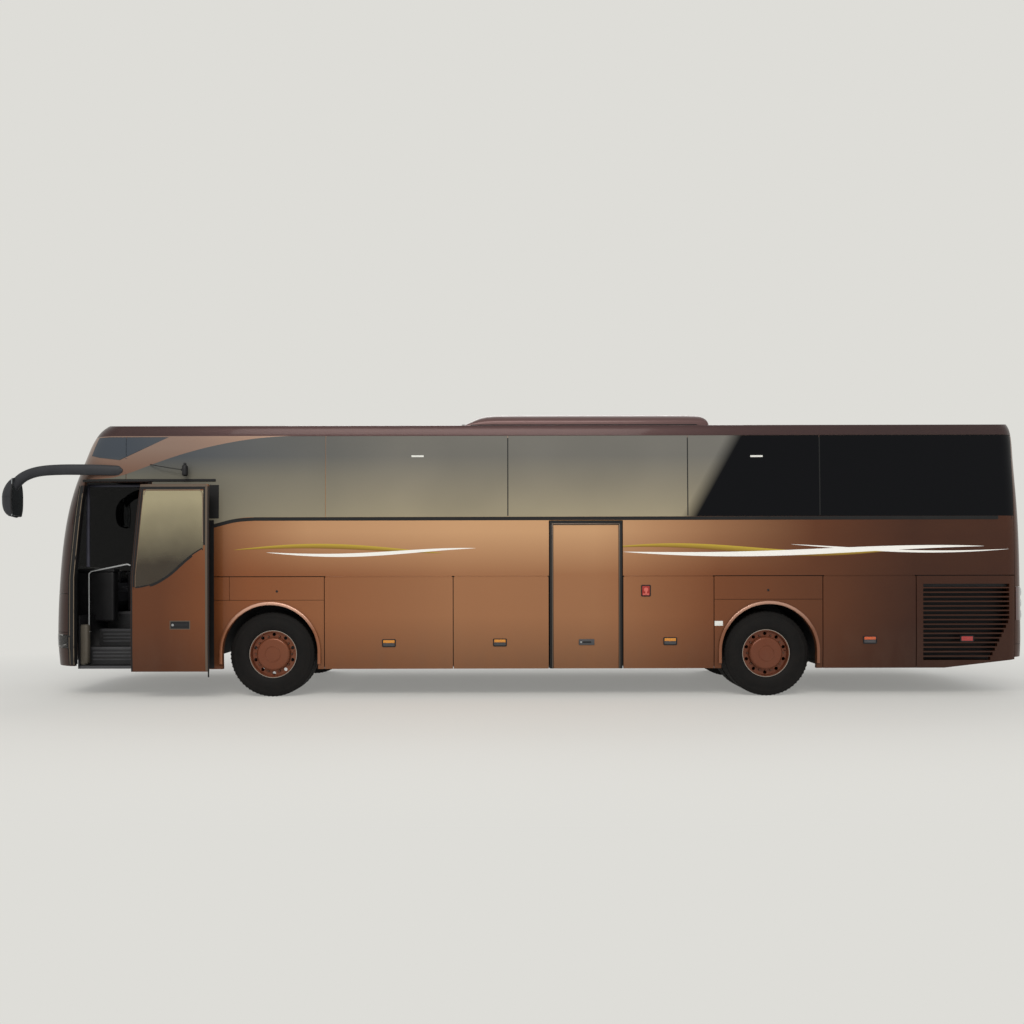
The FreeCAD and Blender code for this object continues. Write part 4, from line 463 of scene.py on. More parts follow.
node_finish = {
    side_paint: ["side_frames"],
    body_paint: ["arch_panels", "front_frame", "front_mask", "bumpers", "rear_mask", "engine_lid",
                 "entrance_leaf", "middle_leaf"] + [n for n in nodes if n.startswith("flap_")],
    roof_paint: ["roof", "roof_cooler", "roof_hatch_front", "roof_hatch_rear"],
    glazing: ["side_glass", "front_side_glass"],
    screen_glass: ["windscreen"],
    door_glass: ["entrance_glass"],
    lamp_glass: ["headlamps"],
    smoked: ["tail_lamps"],
    wheel_paint: ["rim_front_left", "rim_front_right", "rims_rear_left", "rims_rear_right"],
    rubber: ["tyre_front_left", "tyre_front_right", "tyres_rear_left", "tyres_rear_right"],
    trim_black: ["wheel_liners", "air_springs", "wipers", "steering_wheel", "entrance_arm", "middle_arm",
                 "pillar_bearings"],
    flooring: ["entry_steps", "cab_deck", "floor_deck"],
    chassis: ["bulkheads", "bay_floors", "rails", "axles", "knuckle_left", "knuckle_right"],
    cast_iron: ["engine"],
    fabric: ["passenger_seats", "crew_seats"],
    steel: ["handrails"],
    trim_dark: ["mirrors", "dashboard", "parcel_racks"],
    mirror_face: ["mirror_glasses"],
}
for finish, names in node_finish.items():
    for name in names:
        mesh = nodes[name].data
        mesh.materials.clear()
        mesh.materials.append(finish)


# Making pieces


def piece(name, shape, finish, body="coach", crease=35.0):
    """A mesh piece in the coach's frame, riding on one body. A list of shapes becomes one mesh."""
    points, faces = join_all(shape) if isinstance(shape, list) else shape
    mesh = bpy.data.meshes.new(name)
    mesh.from_pydata([tuple(p) for p in points], [], faces)
    mesh.validate()
    mesh.shade_smooth()
    mesh.set_sharp_from_angle(angle=radians(crease))
    mesh.materials.append(finish)
    thing = bpy.data.objects.new(name, mesh)
    bpy.context.scene.collection.objects.link(thing)
    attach(thing, body)
    return thing


def join_all(shapes):
    """Several (points, faces) shapes as one."""
    points, faces = [], []
    for some_points, some_faces in shapes:
        base = len(points)
        points += some_points
        faces += [[base + i for i in f] for f in some_faces]
    return points, faces


def soft_box(low, high, bevel, steps=2):
    """A box with rounded edges."""
    low, high = Vector(low), Vector(high)
    grid = bmesh.new()
    bmesh.ops.create_cube(grid, size=1.0)
    size, middle = high - low, (high + low) / 2
    for v in grid.verts:
        v.co = Vector((v.co.x * size.x, v.co.y * size.y, v.co.z * size.z)) + middle
    bmesh.ops.bevel(grid, geom=list(grid.edges), offset=min(bevel, min(size) * 0.45), segments=steps,
                    profile=0.5, affect="EDGES", clamp_overlap=True)
    shape = [v.co.copy() for v in grid.verts], [[v.index for v in f.verts] for f in grid.faces]
    grid.free()
    return shape


def round_section(radius, count):
    return [(radius * cos(2 * pi * i / count), radius * sin(2 * pi * i / count)) for i in range(count)]


def sweep(path, section, closed=False, up=Vector((0, 0, 1)), sizes=None):
    """A section carried along a path, capped at open ends. Sizes stretch it at each point."""
    path = [Vector(p) for p in path]
    count, rim = len(path), len(section)
    points, faces = [], []
    side_way = None
    for i, p in enumerate(path):
        before = path[i - 1] if i or closed else p
        after = path[(i + 1) % count] if i < count - 1 or closed else p
        along = (after - before).normalized()
        if side_way is None:
            base = up if abs(along.dot(up)) < 0.95 else Vector((1, 0, 0))
            side_way = along.cross(base).normalized()
        side_way = (side_way - along * side_way.dot(along)).normalized()
        rise = side_way.cross(along).normalized()
        wide, tall = sizes[i] if sizes else (1, 1)
        points += [p + side_way * a * wide + rise * b * tall for a, b in section]
    for i in range(count if closed else count - 1):
        a, b = i * rim, (i + 1) % count * rim
        faces += [[a + j, a + (j + 1) % rim, b + (j + 1) % rim, b + j] for j in range(rim)]
    if not closed:
        faces += [list(range(rim))[::-1], [(count - 1) * rim + j for j in range(rim)]]
    return points, faces


def tube(path, radius, count=10, closed=False):
    """A round bar along a path."""
    return sweep(path, round_section(radius, count), closed)


def spin(profile, centre, axis, steps=48):
    """A profile of (along, radius) points turned about an axis through the centre."""
    centre, axis = Vector(centre), Vector(axis).normalized()
    first = axis.orthogonal().normalized()
    second = axis.cross(first)
    rim = len(profile)
    points, faces = [], []
    for i in range(steps):
        a = 2 * pi * i / steps
        out = first * cos(a) + second * sin(a)
        points += [centre + axis * along + out * radius for along, radius in profile]
    for i in range(steps):
        a, b = i * rim, (i + 1) % steps * rim
        faces += [[a + j, a + (j + 1) % rim, b + (j + 1) % rim, b + j] for j in range(rim)]
    return points, faces


def moved(shape, shift):
    """The shape at another place."""
    points, faces = shape
    return [p + Vector(shift) for p in points], faces


def as_made(shape):
    """The shape as it stands, on the nearside."""
    return shape


def flipped(shape):
    """The shape on the other side of the coach."""
    points, faces = shape
    return [Vector((p.x, -p.y, p.z)) for p in points], [f[::-1] for f in faces]


hands = (("left", as_made), ("right", flipped))


def both(shapes):
    """The nearside shapes and the same on the offside."""
    return shapes + [flipped(shape) for shape in shapes]


def sheet(rows, columns, turned=False):
    """The faces between rows of points, each with a number of columns."""
    faces = [[a * columns + k, a * columns + k + 1, (a + 1) * columns + k + 1, (a + 1) * columns + k]
             for a in range(rows - 1) for k in range(columns - 1)]
    return [[f[0], f[3], f[2], f[1]] for f in faces] if turned else faces


skins = {}


def surface(*names):
    """A search tree over some CAD nodes' outer faces."""
    if names not in skins:
        points, faces = join_all([([v.co.copy() for v in nodes[n].data.vertices],
                                   [list(p.vertices) for p in nodes[n].data.polygons]) for n in names])
        skins[names] = BVHTree.FromPolygons(points, faces)
    return skins[names]


def touch(origin, way, *names):
    """The first point that a straight line meets on the nodes, and the way that the face looks."""
    hit, out, _, _ = surface(*names).ray_cast(Vector(origin), Vector(way))
    if hit is None:
        return None, None
    if out.dot(Vector(way)) > 0:
        out = -out
    return hit, out


def spot(px, py):
    """A place on the nearside wall from the photograph's pixels."""
    return front_axle + (px - hub_column) * side_pixel, (ground_row - py) * side_pixel


# Camera, floor and light

def studio():
    """The camera at the photograph's angle, a pale floor that keeps the shadow, and three soft lamps."""
    scene = bpy.context.scene
    scene.view_settings.view_transform = "Standard"
    camera = bpy.data.objects.new("camera", bpy.data.cameras.new("camera"))
    scene.collection.objects.link(camera)
    camera.location = (camera_x, -10.775, camera_z)
    camera.rotation_euler = (radians(90), radians(0.12), 0)
    camera.data.lens = 27.4
    camera.data.shift_y = 0.053
    camera.data.clip_end = 200
    scene.camera = camera

    pale = tone(222, 221, 216)
    backdrop = Finish("backdrop", Roughness=0.9)
    at = backdrop.place()
    x, y, _ = backdrop.parts(at)
    haze = backdrop.noise(at, 0.15, 2.0)
    backdrop.feed(Base_Color=backdrop.blend(haze.ramp(0.3, 0.7), tone(228, 227, 222), tone(224, 223, 218)))
    far = ((x * 0.42).power(2.0) + (y + 0.4).power(2.0)).power(0.5).ramp(2.9, 5.6) * 0.68 + 0.32
    glow = backdrop.node("ShaderNodeEmission", None, {"Color": pale, "Strength": 1.0})
    lit = Value(backdrop, backdrop.shader.outputs[0])
    mixed = backdrop.node("ShaderNodeMixShader", None, {0: far, 1: lit, 2: glow})
    backdrop.tree.links.new(mixed.socket, backdrop.tree.nodes["Material Output"].inputs["Surface"])
    half = 60.0
    corners = [(-half, -half, 0), (half, -half, 0), (half, half, 0), (-half, half, 0)]
    floor = bpy.data.meshes.new("floor")
    floor.from_pydata(corners, [], [[0, 1, 2, 3]])
    floor.materials.append(backdrop.material)
    ground = bpy.data.objects.new("floor", floor)
    scene.collection.objects.link(ground)

    world = bpy.data.worlds.new("studio")
    scene.world = world
    world.use_nodes = True
    tree = world.node_tree
    tree.nodes.clear()

    sky = Finish("sky", tree)
    rays = sky.node("ShaderNodeLightPath")
    camera_ray = Value(sky, rays.socket.node.outputs["Is Camera Ray"])
    glossy_ray = Value(sky, rays.socket.node.outputs["Is Glossy Ray"])
    clear_ray = Value(sky, rays.socket.node.outputs["Is Transmission Ray"])
    seen = camera_ray.most(glossy_ray).most(clear_ray)
    shade = sky.blend(seen, (0.55, 0.56, 0.58), pale)
    glow = sky.node("ShaderNodeBackground", None, {"Color": shade, "Strength": 1.0})
    out = tree.nodes.new("ShaderNodeOutputWorld")
    tree.links.new(glow.socket, out.inputs["Surface"])

    def lamp(name, place, aim, width, height, power, colour=(1, 1, 1)):
        light = bpy.data.lights.new(name, "AREA")
        light.shape, light.size, light.size_y = "RECTANGLE", width, height
        light.energy, light.color = power, colour
        stand = bpy.data.objects.new(name, light)
        stand.location = place
        stand.rotation_euler = (Vector(aim) - Vector(place)).to_track_quat("-Z", "Y").to_euler()
        scene.collection.objects.link(stand)
        return stand

    lamp("key", (-2.0, -12.2, 10.8), (-0.5, 0, 1.6), 12, 4.4, 1060, (1.0, 0.96, 0.9))
    lamp("fill", (11.0, -8.0, 6.0), (2, 0, 1.5), 8, 5, 200).visible_glossy = False
    lamp("back", (0.0, 12.0, 8.0), (0, 0, 1.5), 14, 6, 500)


studio()


# Tyres and wheels

def tyre_shape(y):
    """One tyre: four grooves round the tread, raised rings and a bead on each sidewall."""
    bead = 0.288
    profile = [(-0.098, bead), (-0.128, 0.296), (-0.141, 0.312), (-0.1475, 0.345), (-0.149, 0.392),
               (-0.1475, 0.4), (-0.1478, 0.412), (-0.1455, 0.418), (-0.1445, 0.44), (-0.14, 0.462),
               (-0.1405, 0.468), (-0.137, 0.474), (-0.1335, 0.496), (-0.1275, 0.5115), (-0.117, 0.519)]
    groove, ledge = 0.0115, 0.0055
    for centre in (-0.072, -0.024, 0.024, 0.072):
        top = hub_height - 0.0008
        profile += [(centre - ledge - 0.0022, top), (centre - ledge, top - groove),
                    (centre + ledge, top - groove), (centre + ledge + 0.0022, top)]
    profile += [(-a, r) for a, r in profile[:15]][::-1]
    return spin(profile, (0, y, 0), (0, 1, 0), 96)


def lug_bars(y):
    """Short bars that break up both shoulders of the tread."""
    count, spread, half = 64, 0.0175, 0.0105
    inner, outer = 0.5155, 0.5205
    shapes = []
    for i in range(count):
        a = 2 * pi * i / count
        for at in (-0.119, 0.119):
            low, high = at - half, at + half
            ring = [(low, inner), (high, inner), (high, outer), (low, outer)]
            points = []
            for turn in (a - spread, a + spread):
                points += [Vector((r * cos(turn), y + along, r * sin(turn))) for along, r in ring]
            faces = [[0, 1, 2, 3], [7, 6, 5, 4], [0, 4, 5, 1], [1, 5, 6, 2], [2, 6, 7, 3], [3, 7, 4, 0]]
            shapes.append((points, faces))
    return join_all(shapes)


def each_wheel():
    """For each wheel: its name, side, station, body, tyre node and rim node."""
    for end, x, body, tyre, rim in (("front", front_axle, "front_wheel_", "tyre_front_", "rim_front_"),
                                    ("rear", rear_axle, "rear_wheels_", "tyres_rear_", "rims_rear_")):
        for hand, sign in (("left", -1), ("right", 1)):
            yield "%s_%s" % (end, hand), sign, x, body + hand, tyre + hand, rim + hand


def put_tyres():
    """One tyre a side in front and two behind."""
    half = 0.149
    for name, _, x, body, tyre_node, _ in each_wheel():
        low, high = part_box(tyre_node)
        shapes = []
        for y in (low.y + half, high.y - half)[:1 if "front" in name else 2]:
            shapes += [tyre_shape(y), lug_bars(y)]
        tyre = piece("tyres_" + name, moved(join_all(shapes), (x, 0, hub_height)), rubber, body, 28.0)
        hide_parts(tyre_node)


put_tyres()


def put_wheel_trim():
    """The bright ring at the rim's edge, the cover's ribs, the nuts between disc and cover, and the valve."""
    nut_count, nut_ring = 10, 0.222
    for name, sign, x, body, _, rim_node in each_wheel():
        low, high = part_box(rim_node)
        cover = low.y if sign < 0 else high.y
        flange = cover - sign * 0.014
        disc = flange - sign * 0.043
        out = (0, sign, 0)
        ring = spin([(0.0005, 0.283), (0.0045, 0.286), (0.0045, 0.294), (0.0005, 0.2965), (-0.004, 0.294),
                     (-0.004, 0.285)], (x, flange, hub_height), out, 72)
        piece("rim_edge_" + name, ring, bright, body, 30.0)
        ribs = [spin([(0.0, 0.088), (0.0035, 0.092), (0.0035, 0.096), (0.0, 0.1), (-0.004, 0.094)],
                     (x, cover, hub_height), out, 64),
                spin([(-0.006, 0.199), (0.001, 0.2005), (0.001, 0.2035), (-0.01, 0.2065), (-0.02, 0.206)],
                     (x, cover - sign * 0.012, hub_height), out, 64)]
        piece("cover_ribs_" + name, ribs, wheel_paint, body, 40.0)
        nuts = []
        for i in range(nut_count):
            a = 2 * pi * i / nut_count
            seat_at = (x + nut_ring * cos(a), disc, hub_height + nut_ring * sin(a))
            nuts.append(spin([(-0.01, 0.0), (-0.01, 0.0135), (0.012, 0.0135), (0.016, 0.011), (0.017, 0.0)],
                             seat_at, out, 6))
        valve = tube([(x + 0.236, disc, hub_height + 0.03),
                      (x + 0.25, disc + sign * 0.03, hub_height + 0.034),
                      (x + 0.252, disc + sign * 0.05, hub_height + 0.035)], 0.004, 8)
        piece("wheel_nuts_" + name, nuts + [valve], nut_finish, body, 30.0)


put_wheel_trim()


# Doors

def door_frame(x0, x1, z0, z1, y, width, thick):
    """Strips up both sides and over the top of an upright opening in the side wall."""
    ease = 0.006
    return [soft_box((x0, y - thick, z0), (x0 + width, y, z1), ease),
            soft_box((x1 - width, y - thick, z0), (x1, y, z1), ease),
            soft_box((x0, y - thick * 1.05, z1 - width), (x1, y, z1), ease)]


def put_middle_door():
    """The middle door's seals, its metal edging and a flush handle with a lifting bar and a lock."""
    x0, face, foot = middle_low
    x1, _, head = middle_high
    foot, head = foot + 0.001, head - 0.001
    seals = door_frame(x0 - 0.004, x1 + 0.004, foot, head + 0.004, face + 0.006, 0.046, 0.012)
    piece("middle_door_seals", seals, seal_rubber, "middle_door")
    edging = door_frame(x0 + 0.024, x1 - 0.024, foot, head - 0.024, face + 0.002, 0.012, 0.0095)
    piece("middle_door_edging", edging, edge_metal, "middle_door")
    x, z = spot(586.4, 642.2)
    y = face - 0.001
    dish = soft_box((x - 0.095, y - 0.0105, z - 0.036), (x + 0.095, y + 0.004, z + 0.036), 0.012, 3)
    bar = soft_box((x - 0.05, y - 0.012, z - 0.012), (x + 0.055, y - 0.003, z + 0.012), 0.006, 2)
    lock = spin([(0.0, 0.0), (0.0, 0.011), (-0.004, 0.0115), (-0.006, 0.009), (-0.006, 0.0)],
                (x - 0.068, y - 0.006, z), (0, 1, 0), 20)
    piece("middle_handle_frame", dish, trim_grey, "middle_door")
    piece("middle_handle_bar", bar, trim_black, "middle_door")
    piece("middle_handle_lock", lock, steel, "middle_door")


put_middle_door()


# The coach's sides

flap_nodes = tuple(n for n in nodes if n.startswith("flap_"))
side_nodes = ("side_frames", "side_glass", "front_side_glass", "arch_panels", "front_frame", "bumpers",
              "front_mask", "rear_mask", "roof") + flap_nodes


def on_side(x, z, way=1):
    """A side wall's outer face at a station and height: way is 1 on the nearside, -1 on the offside."""
    hit, out = touch((x, -4 * way, z), (0, way, 0), *side_nodes)
    return hit or Vector((x, -side * way, z)), out or Vector((0, -way, 0))


def smooth_line(points, between=6):
    """More points on a soft curve through the given ones."""
    points = [Vector(p) for p in points]
    line = []
    for i in range(len(points) - 1):
        a, b = points[max(i - 1, 0)], points[i]
        c, d = points[i + 1], points[min(i + 2, len(points) - 1)]
        for k in range(between):
            t = k / between
            line.append(0.5 * ((2 * b) + (c - a) * t + (2 * a - 5 * b + 4 * c - d) * t * t
                               + (3 * b - a - 3 * c + d) * t ** 3))
    return line + [points[-1]]


def laid_strip(places, width, thick, sink=0.0008):
    """A strip with eased edges, laid on a face: places are points with the way the face looks there."""
    points, faces = [], []
    half, ease = width / 2, min(width * 0.2, thick * 0.6)
    section = ((-half, -sink), (-half, thick - ease), (-half + ease, thick), (half - ease, thick),
               (half, thick - ease), (half, -sink))
    rim = len(section)
    for i, (p, out) in enumerate(places):
        along = (places[min(i + 1, len(places) - 1)][0] - places[max(i - 1, 0)][0]).normalized()
        across = along.cross(out).normalized()
        up = across.cross(along).normalized()
        points += [p + across * a + up * b for a, b in section]
    for i in range(len(places) - 1):
        a, b = i * rim, (i + 1) * rim
        faces += [[a + j, b + j, b + (j + 1) % rim, a + (j + 1) % rim] for j in range(rim)]
    faces += [list(range(rim)), [(len(places) - 1) * rim + j for j in reversed(range(rim))]]
    return points, faces


def closely(places, gap=0.04):
    """The given pairs with more between them, so that a strip follows the curved skin."""
    line = []
    for (ax, az), (bx, bz) in zip(places, places[1:]):
        count = max(1, int(hypot(bx - ax, bz - az) / gap))
        line += [(ax + (bx - ax) * k / count, az + (bz - az) * k / count) for k in range(count)]
    return line + [places[-1]]


def edge_points(corners, between):
    """The corners with points evenly along the straight edges between them."""
    return [(ax + (bx - ax) * k / between, ay + (by - ay) * k / between)
            for (ax, ay), (bx, by) in zip(corners, corners[1:]) for k in range(between)] + corners[-1:]


sill_shares = ((0.0, 0.0), (0.1, 0.018), (0.198, 0.073), (0.407, 0.223), (0.617, 0.466), (0.702, 0.608),
               (0.785, 0.79), (0.851, 0.9), (0.906, 0.959), (1.0, 1.0))


def sill_line():
    """The window sill as (station, height), from behind the front axle to the nose pillar."""
    start, length, fall = front_axle - 0.187, 2.158, 0.88
    curve = smooth_line([(start - length * a, belt_top - fall * b) for a, b in sill_shares])
    return [(p.x, p.y) for p in curve]


def doorway_edge(z):
    """The entrance's slanted front edge."""
    return -5.443 + 0.11 * max(0.0, z - waist) / 1.161


def put_belt():
    """The black strip under the side windows, down to the nose pillar."""
    middle = belt_foot + 0.0225 - belt_top
    line = [(x / 10, belt_top) for x in range(60, -32, -2)] + sill_line()
    line = [(x, z + middle) for x, z in line]
    for name, stop, way in (("left", -4.48, 1), ("right", -5.36, -1)):
        shape = laid_strip([on_side(x, z, way) for x, z in line if x > stop], 0.043, 0.0016)
        piece("belt_strip_" + name, shape, seal_rubber, crease=30.0)


def ring_frame(x, z, wide, high, depth, edge, corner, count=6):
    """A rounded rectangular frame standing on the nearside wall."""
    base, _ = on_side(x, z)
    outline = []
    reach_x, reach_z = wide / 2 - corner, high / 2 - corner
    for cx, cz, turn in ((1, 1, 0), (-1, 1, 1), (-1, -1, 2), (1, -1, 3)):
        for k in range(count + 1):
            a = pi / 2 * (turn + k / count)
            outline.append((cx * reach_x + corner * cos(a), cz * reach_z + corner * sin(a)))
    points = []
    eased = depth * 0.7
    steps = ((0.0, 0.001), (0.0, -eased), (0.15, -depth), (0.85, -depth), (1.0, -eased), (1.0, 0.001))
    for share, y in steps:
        for u, v in outline:
            shrink = share * edge
            points.append(base + Vector((u - shrink * 2 * u / wide, y, v - shrink * 2 * v / high)))
    rim, faces = len(outline), []
    for i in range(len(steps)):
        a, b = i * rim, (i + 1) % len(steps) * rim
        faces += [[a + j, b + j, b + (j + 1) % rim, a + (j + 1) % rim] for j in range(rim)]
    return points, faces


def marker(name, x, z, body, finish, flip=as_made, lower=True):
    """A side marker in a black frame: the lens above and a finger grip below."""
    y = on_side(x, z)[0].y
    high, top, foot = (0.096, 0.04, 0.002) if lower else (0.075, 0.03, -0.03)
    piece(name + "_frame", flip(ring_frame(x, z, 0.168, high, 0.007, 0.012, 0.014)), trim_black, body)
    lens_shape = soft_box((x - 0.07, y - 0.0065, z + foot), (x + 0.07, y + 0.001, z + top), 0.006, 3)
    piece(name + "_lens", flip(lens_shape), finish, body)
    if lower:
        grip = join_all([soft_box((x - 0.07, y - 0.0025, z - 0.04), (x + 0.07, y + 0.001, z), 0.003),
                         soft_box((x - 0.06, y - 0.006, z - 0.012), (x + 0.06, y - 0.001, z - 0.003), 0.002)])
        piece(name + "_grip", flip(grip), trim_grey, body)


def put_markers():
    """Markers on the flaps and at the tail, on both sides."""
    left = ((388.9, 642.9, "one", amber), (499.8, 642.5, "two", amber), (669.9, 641.5, "three", amber),
            (869.5, 640.5, "four", orange))
    for index, (px, py, flap, finish) in enumerate(left):
        marker("marker_left_%d" % index, *spot(px, py), "flap_%s_left_door" % flap, finish)
    x, z = spot(966.4, 639.5)
    marker("marker_left_rear", x, z, "coach", red, lower=False)
    for index, (_, _, flap, finish) in enumerate(left):
        low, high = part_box("flap_%s_right" % flap)
        marker("marker_right_%d" % index, (low.x + high.x) / 2, 0.668, "flap_%s_right_door" % flap, finish,
               flipped)
    marker("marker_right_rear", x, z, "coach", red, flipped, False)


def lock_barrel(x, z):
    """A round lock with its slit."""
    base, _ = on_side(x, z)
    barrel = spin([(0.001, 0.0), (0.001, 0.013), (-0.002, 0.0145), (-0.0035, 0.013), (-0.0035, 0.0075),
                   (-0.001, 0.0068), (-0.001, 0.0)], base, (0, 1, 0), 24)
    slit = soft_box((x - 0.0015, base.y - 0.003, z - 0.0055), (x + 0.0015, base.y, z + 0.0055), 0.0005, 1)
    return join_all([barrel, slit])


def put_small_fittings():
    """Locks over the wheels, the emergency door cock and the blank labels."""
    locks = []
    for px, py in ((277, 591), (768, 590.7)):
        lock = lock_barrel(*spot(px, py))
        locks += [lock, flipped(lock)]
    piece("hatch_locks", locks, dark_metal)
    x, z = spot(645.8, 591)
    body = "flap_three_left_door"
    y = on_side(x, z)[0].y
    piece("door_cock_frame", ring_frame(x, z, 0.118, 0.142, 0.007, 0.012, 0.014), trim_black, body)
    plate = soft_box((x - 0.046, y - 0.003, z - 0.058), (x + 0.046, y + 0.001, z + 0.058), 0.004, 2)
    piece("door_cock_plate", plate, plate_red, body)
    knob = [spin([(0.0, 0.0), (0.0, 0.026), (-0.006, 0.027), (-0.009, 0.024), (-0.009, 0.0)],
                 (x, y - 0.002, z + 0.012), (0, 1, 0), 28),
            soft_box((x - 0.012, y - 0.016, z - 0.048), (x + 0.012, y - 0.003, z + 0.03), 0.004, 2),
            soft_box((x - 0.036, y - 0.0045, z - 0.054), (x + 0.036, y - 0.002, z - 0.034), 0.002, 1)]
    piece("door_cock_handle", knob, knob_pink, body)

    labels = []
    for px, py, wide, high, ease in ((718.5, 623.8, 0.1, 0.058, 0.006), (417.7, 456, 0.15, 0.022, 0.004),
                                     (757, 456.6, 0.15, 0.022, 0.004)):
        x, z = spot(px, py)
        y = on_side(x, z)[0].y
        labels.append(soft_box((x - wide / 2, y - 0.001, z - high / 2),
                               (x + wide / 2, y + 0.001, z + high / 2), ease, 3))
    labels += [flipped(label) for label in labels[1:]]
    piece("plain_labels", labels, plate_white)


def pane_gaps():
    """The stations of the joints between the side panes."""
    mesh = nodes["side_glass"].data
    home = list(range(len(mesh.vertices)))

    def root(i):
        while home[i] != i:
            home[i] = home[home[i]]
            i = home[i]
        return i

    for edge in mesh.edges:
        a, b = root(edge.vertices[0]), root(edge.vertices[1])
        home[a] = b
    spans = {}
    for vertex in mesh.vertices:
        if vertex.co.y < -0.9:
            spans.setdefault(root(vertex.index), []).append(vertex.co.x)
    spans = sorted((min(xs), max(xs)) for xs in spans.values() if max(xs) - min(xs) > 0.3)
    return [(a[1] + b[0]) / 2 for a, b in zip(spans, spans[1:]) if 0 < b[0] - a[1] < 0.05]


def put_pane_joints():
    """Dark joints between the side panes, on both sides, and black strips behind the open door: a painted
    reflection of the open leaf on the glass and a painted shadow of it on the wall below.
    """
    leaf_reflection_x, lower_x, patch_x = -3.752, -3.782, -4.816
    joints = []
    for x in pane_gaps():
        line = [on_side(x + 0.012, z) for x, z in closely([(x, 2.215), (x, 3.17)])]
        joints.append(laid_strip([(Vector((x, p.y, p.z)), out) for p, out in line], 0.013, 0.0008))
    piece("pane_joints", both(joints), seal_rubber, crease=30.0)
    # Painted reflection of the open leaf on the glass above the belt, and its painted shadow on the wall
    # below.
    band = [(leaf_reflection_x, z) for z in (2.19, 2.6)]
    below = side_strip([(lower_x, z) for z in (0.36, 2.17)], 0.085, 0.0009)
    piece("leaf_shadow_and_reflection", [side_strip(band, 0.145, 0.0009), below], seal_rubber, crease=30.0)
    cover = side_strip([(patch_x, z) for z in (2.925, 3.165)], 0.022, 0.0012)
    piece("patch_joint", [cover, flipped(cover)], glazing, crease=30.0)


def put_arch_beads():
    """The rolled bead round each wheel arch, which catches the light from above."""
    section = [(0.02 * cos(pi * k / 8), -0.014 * sin(pi * k / 8)) for k in range(9)] + [(0.0, 0.004)]
    beads = []
    for axle in (front_axle, rear_axle):
        line = []
        for step in range(-2, 39):
            a = pi * step / 36
            for reach in range(540, 760, 3):
                x, z = axle + reach / 1000 * cos(a), hub_height + reach / 1000 * sin(a)
                hit, _ = touch((x, -4, z), (0, 1, 0), "arch_panels")
                if hit is not None and hit.y < -1.2:
                    line.append(hit + Vector((cos(a), 0, sin(a))) * 0.016)
                    break
        beads.append(sweep(line, section, up=Vector((0, 1, 0))))
    piece("arch_beads", both(beads), bead_paint, crease=50.0)


put_belt()
put_markers()
put_small_fittings()
put_arch_beads()


# Entrance

def on_leaf(x, z):
    """The open door leaf's outer face at a station and height."""
    hit, out = touch((x, -3, z), (0, 1, 0), "entrance_leaf", "entrance_glass")
    return hit or Vector((x, -1.5, z)), out or Vector((0, -1, 0))


def leaf_strip(places, width, thick):
    """A strip laid on the open door leaf."""
    return laid_strip([on_leaf(x, z) for x, z in closely(places)], width, thick)


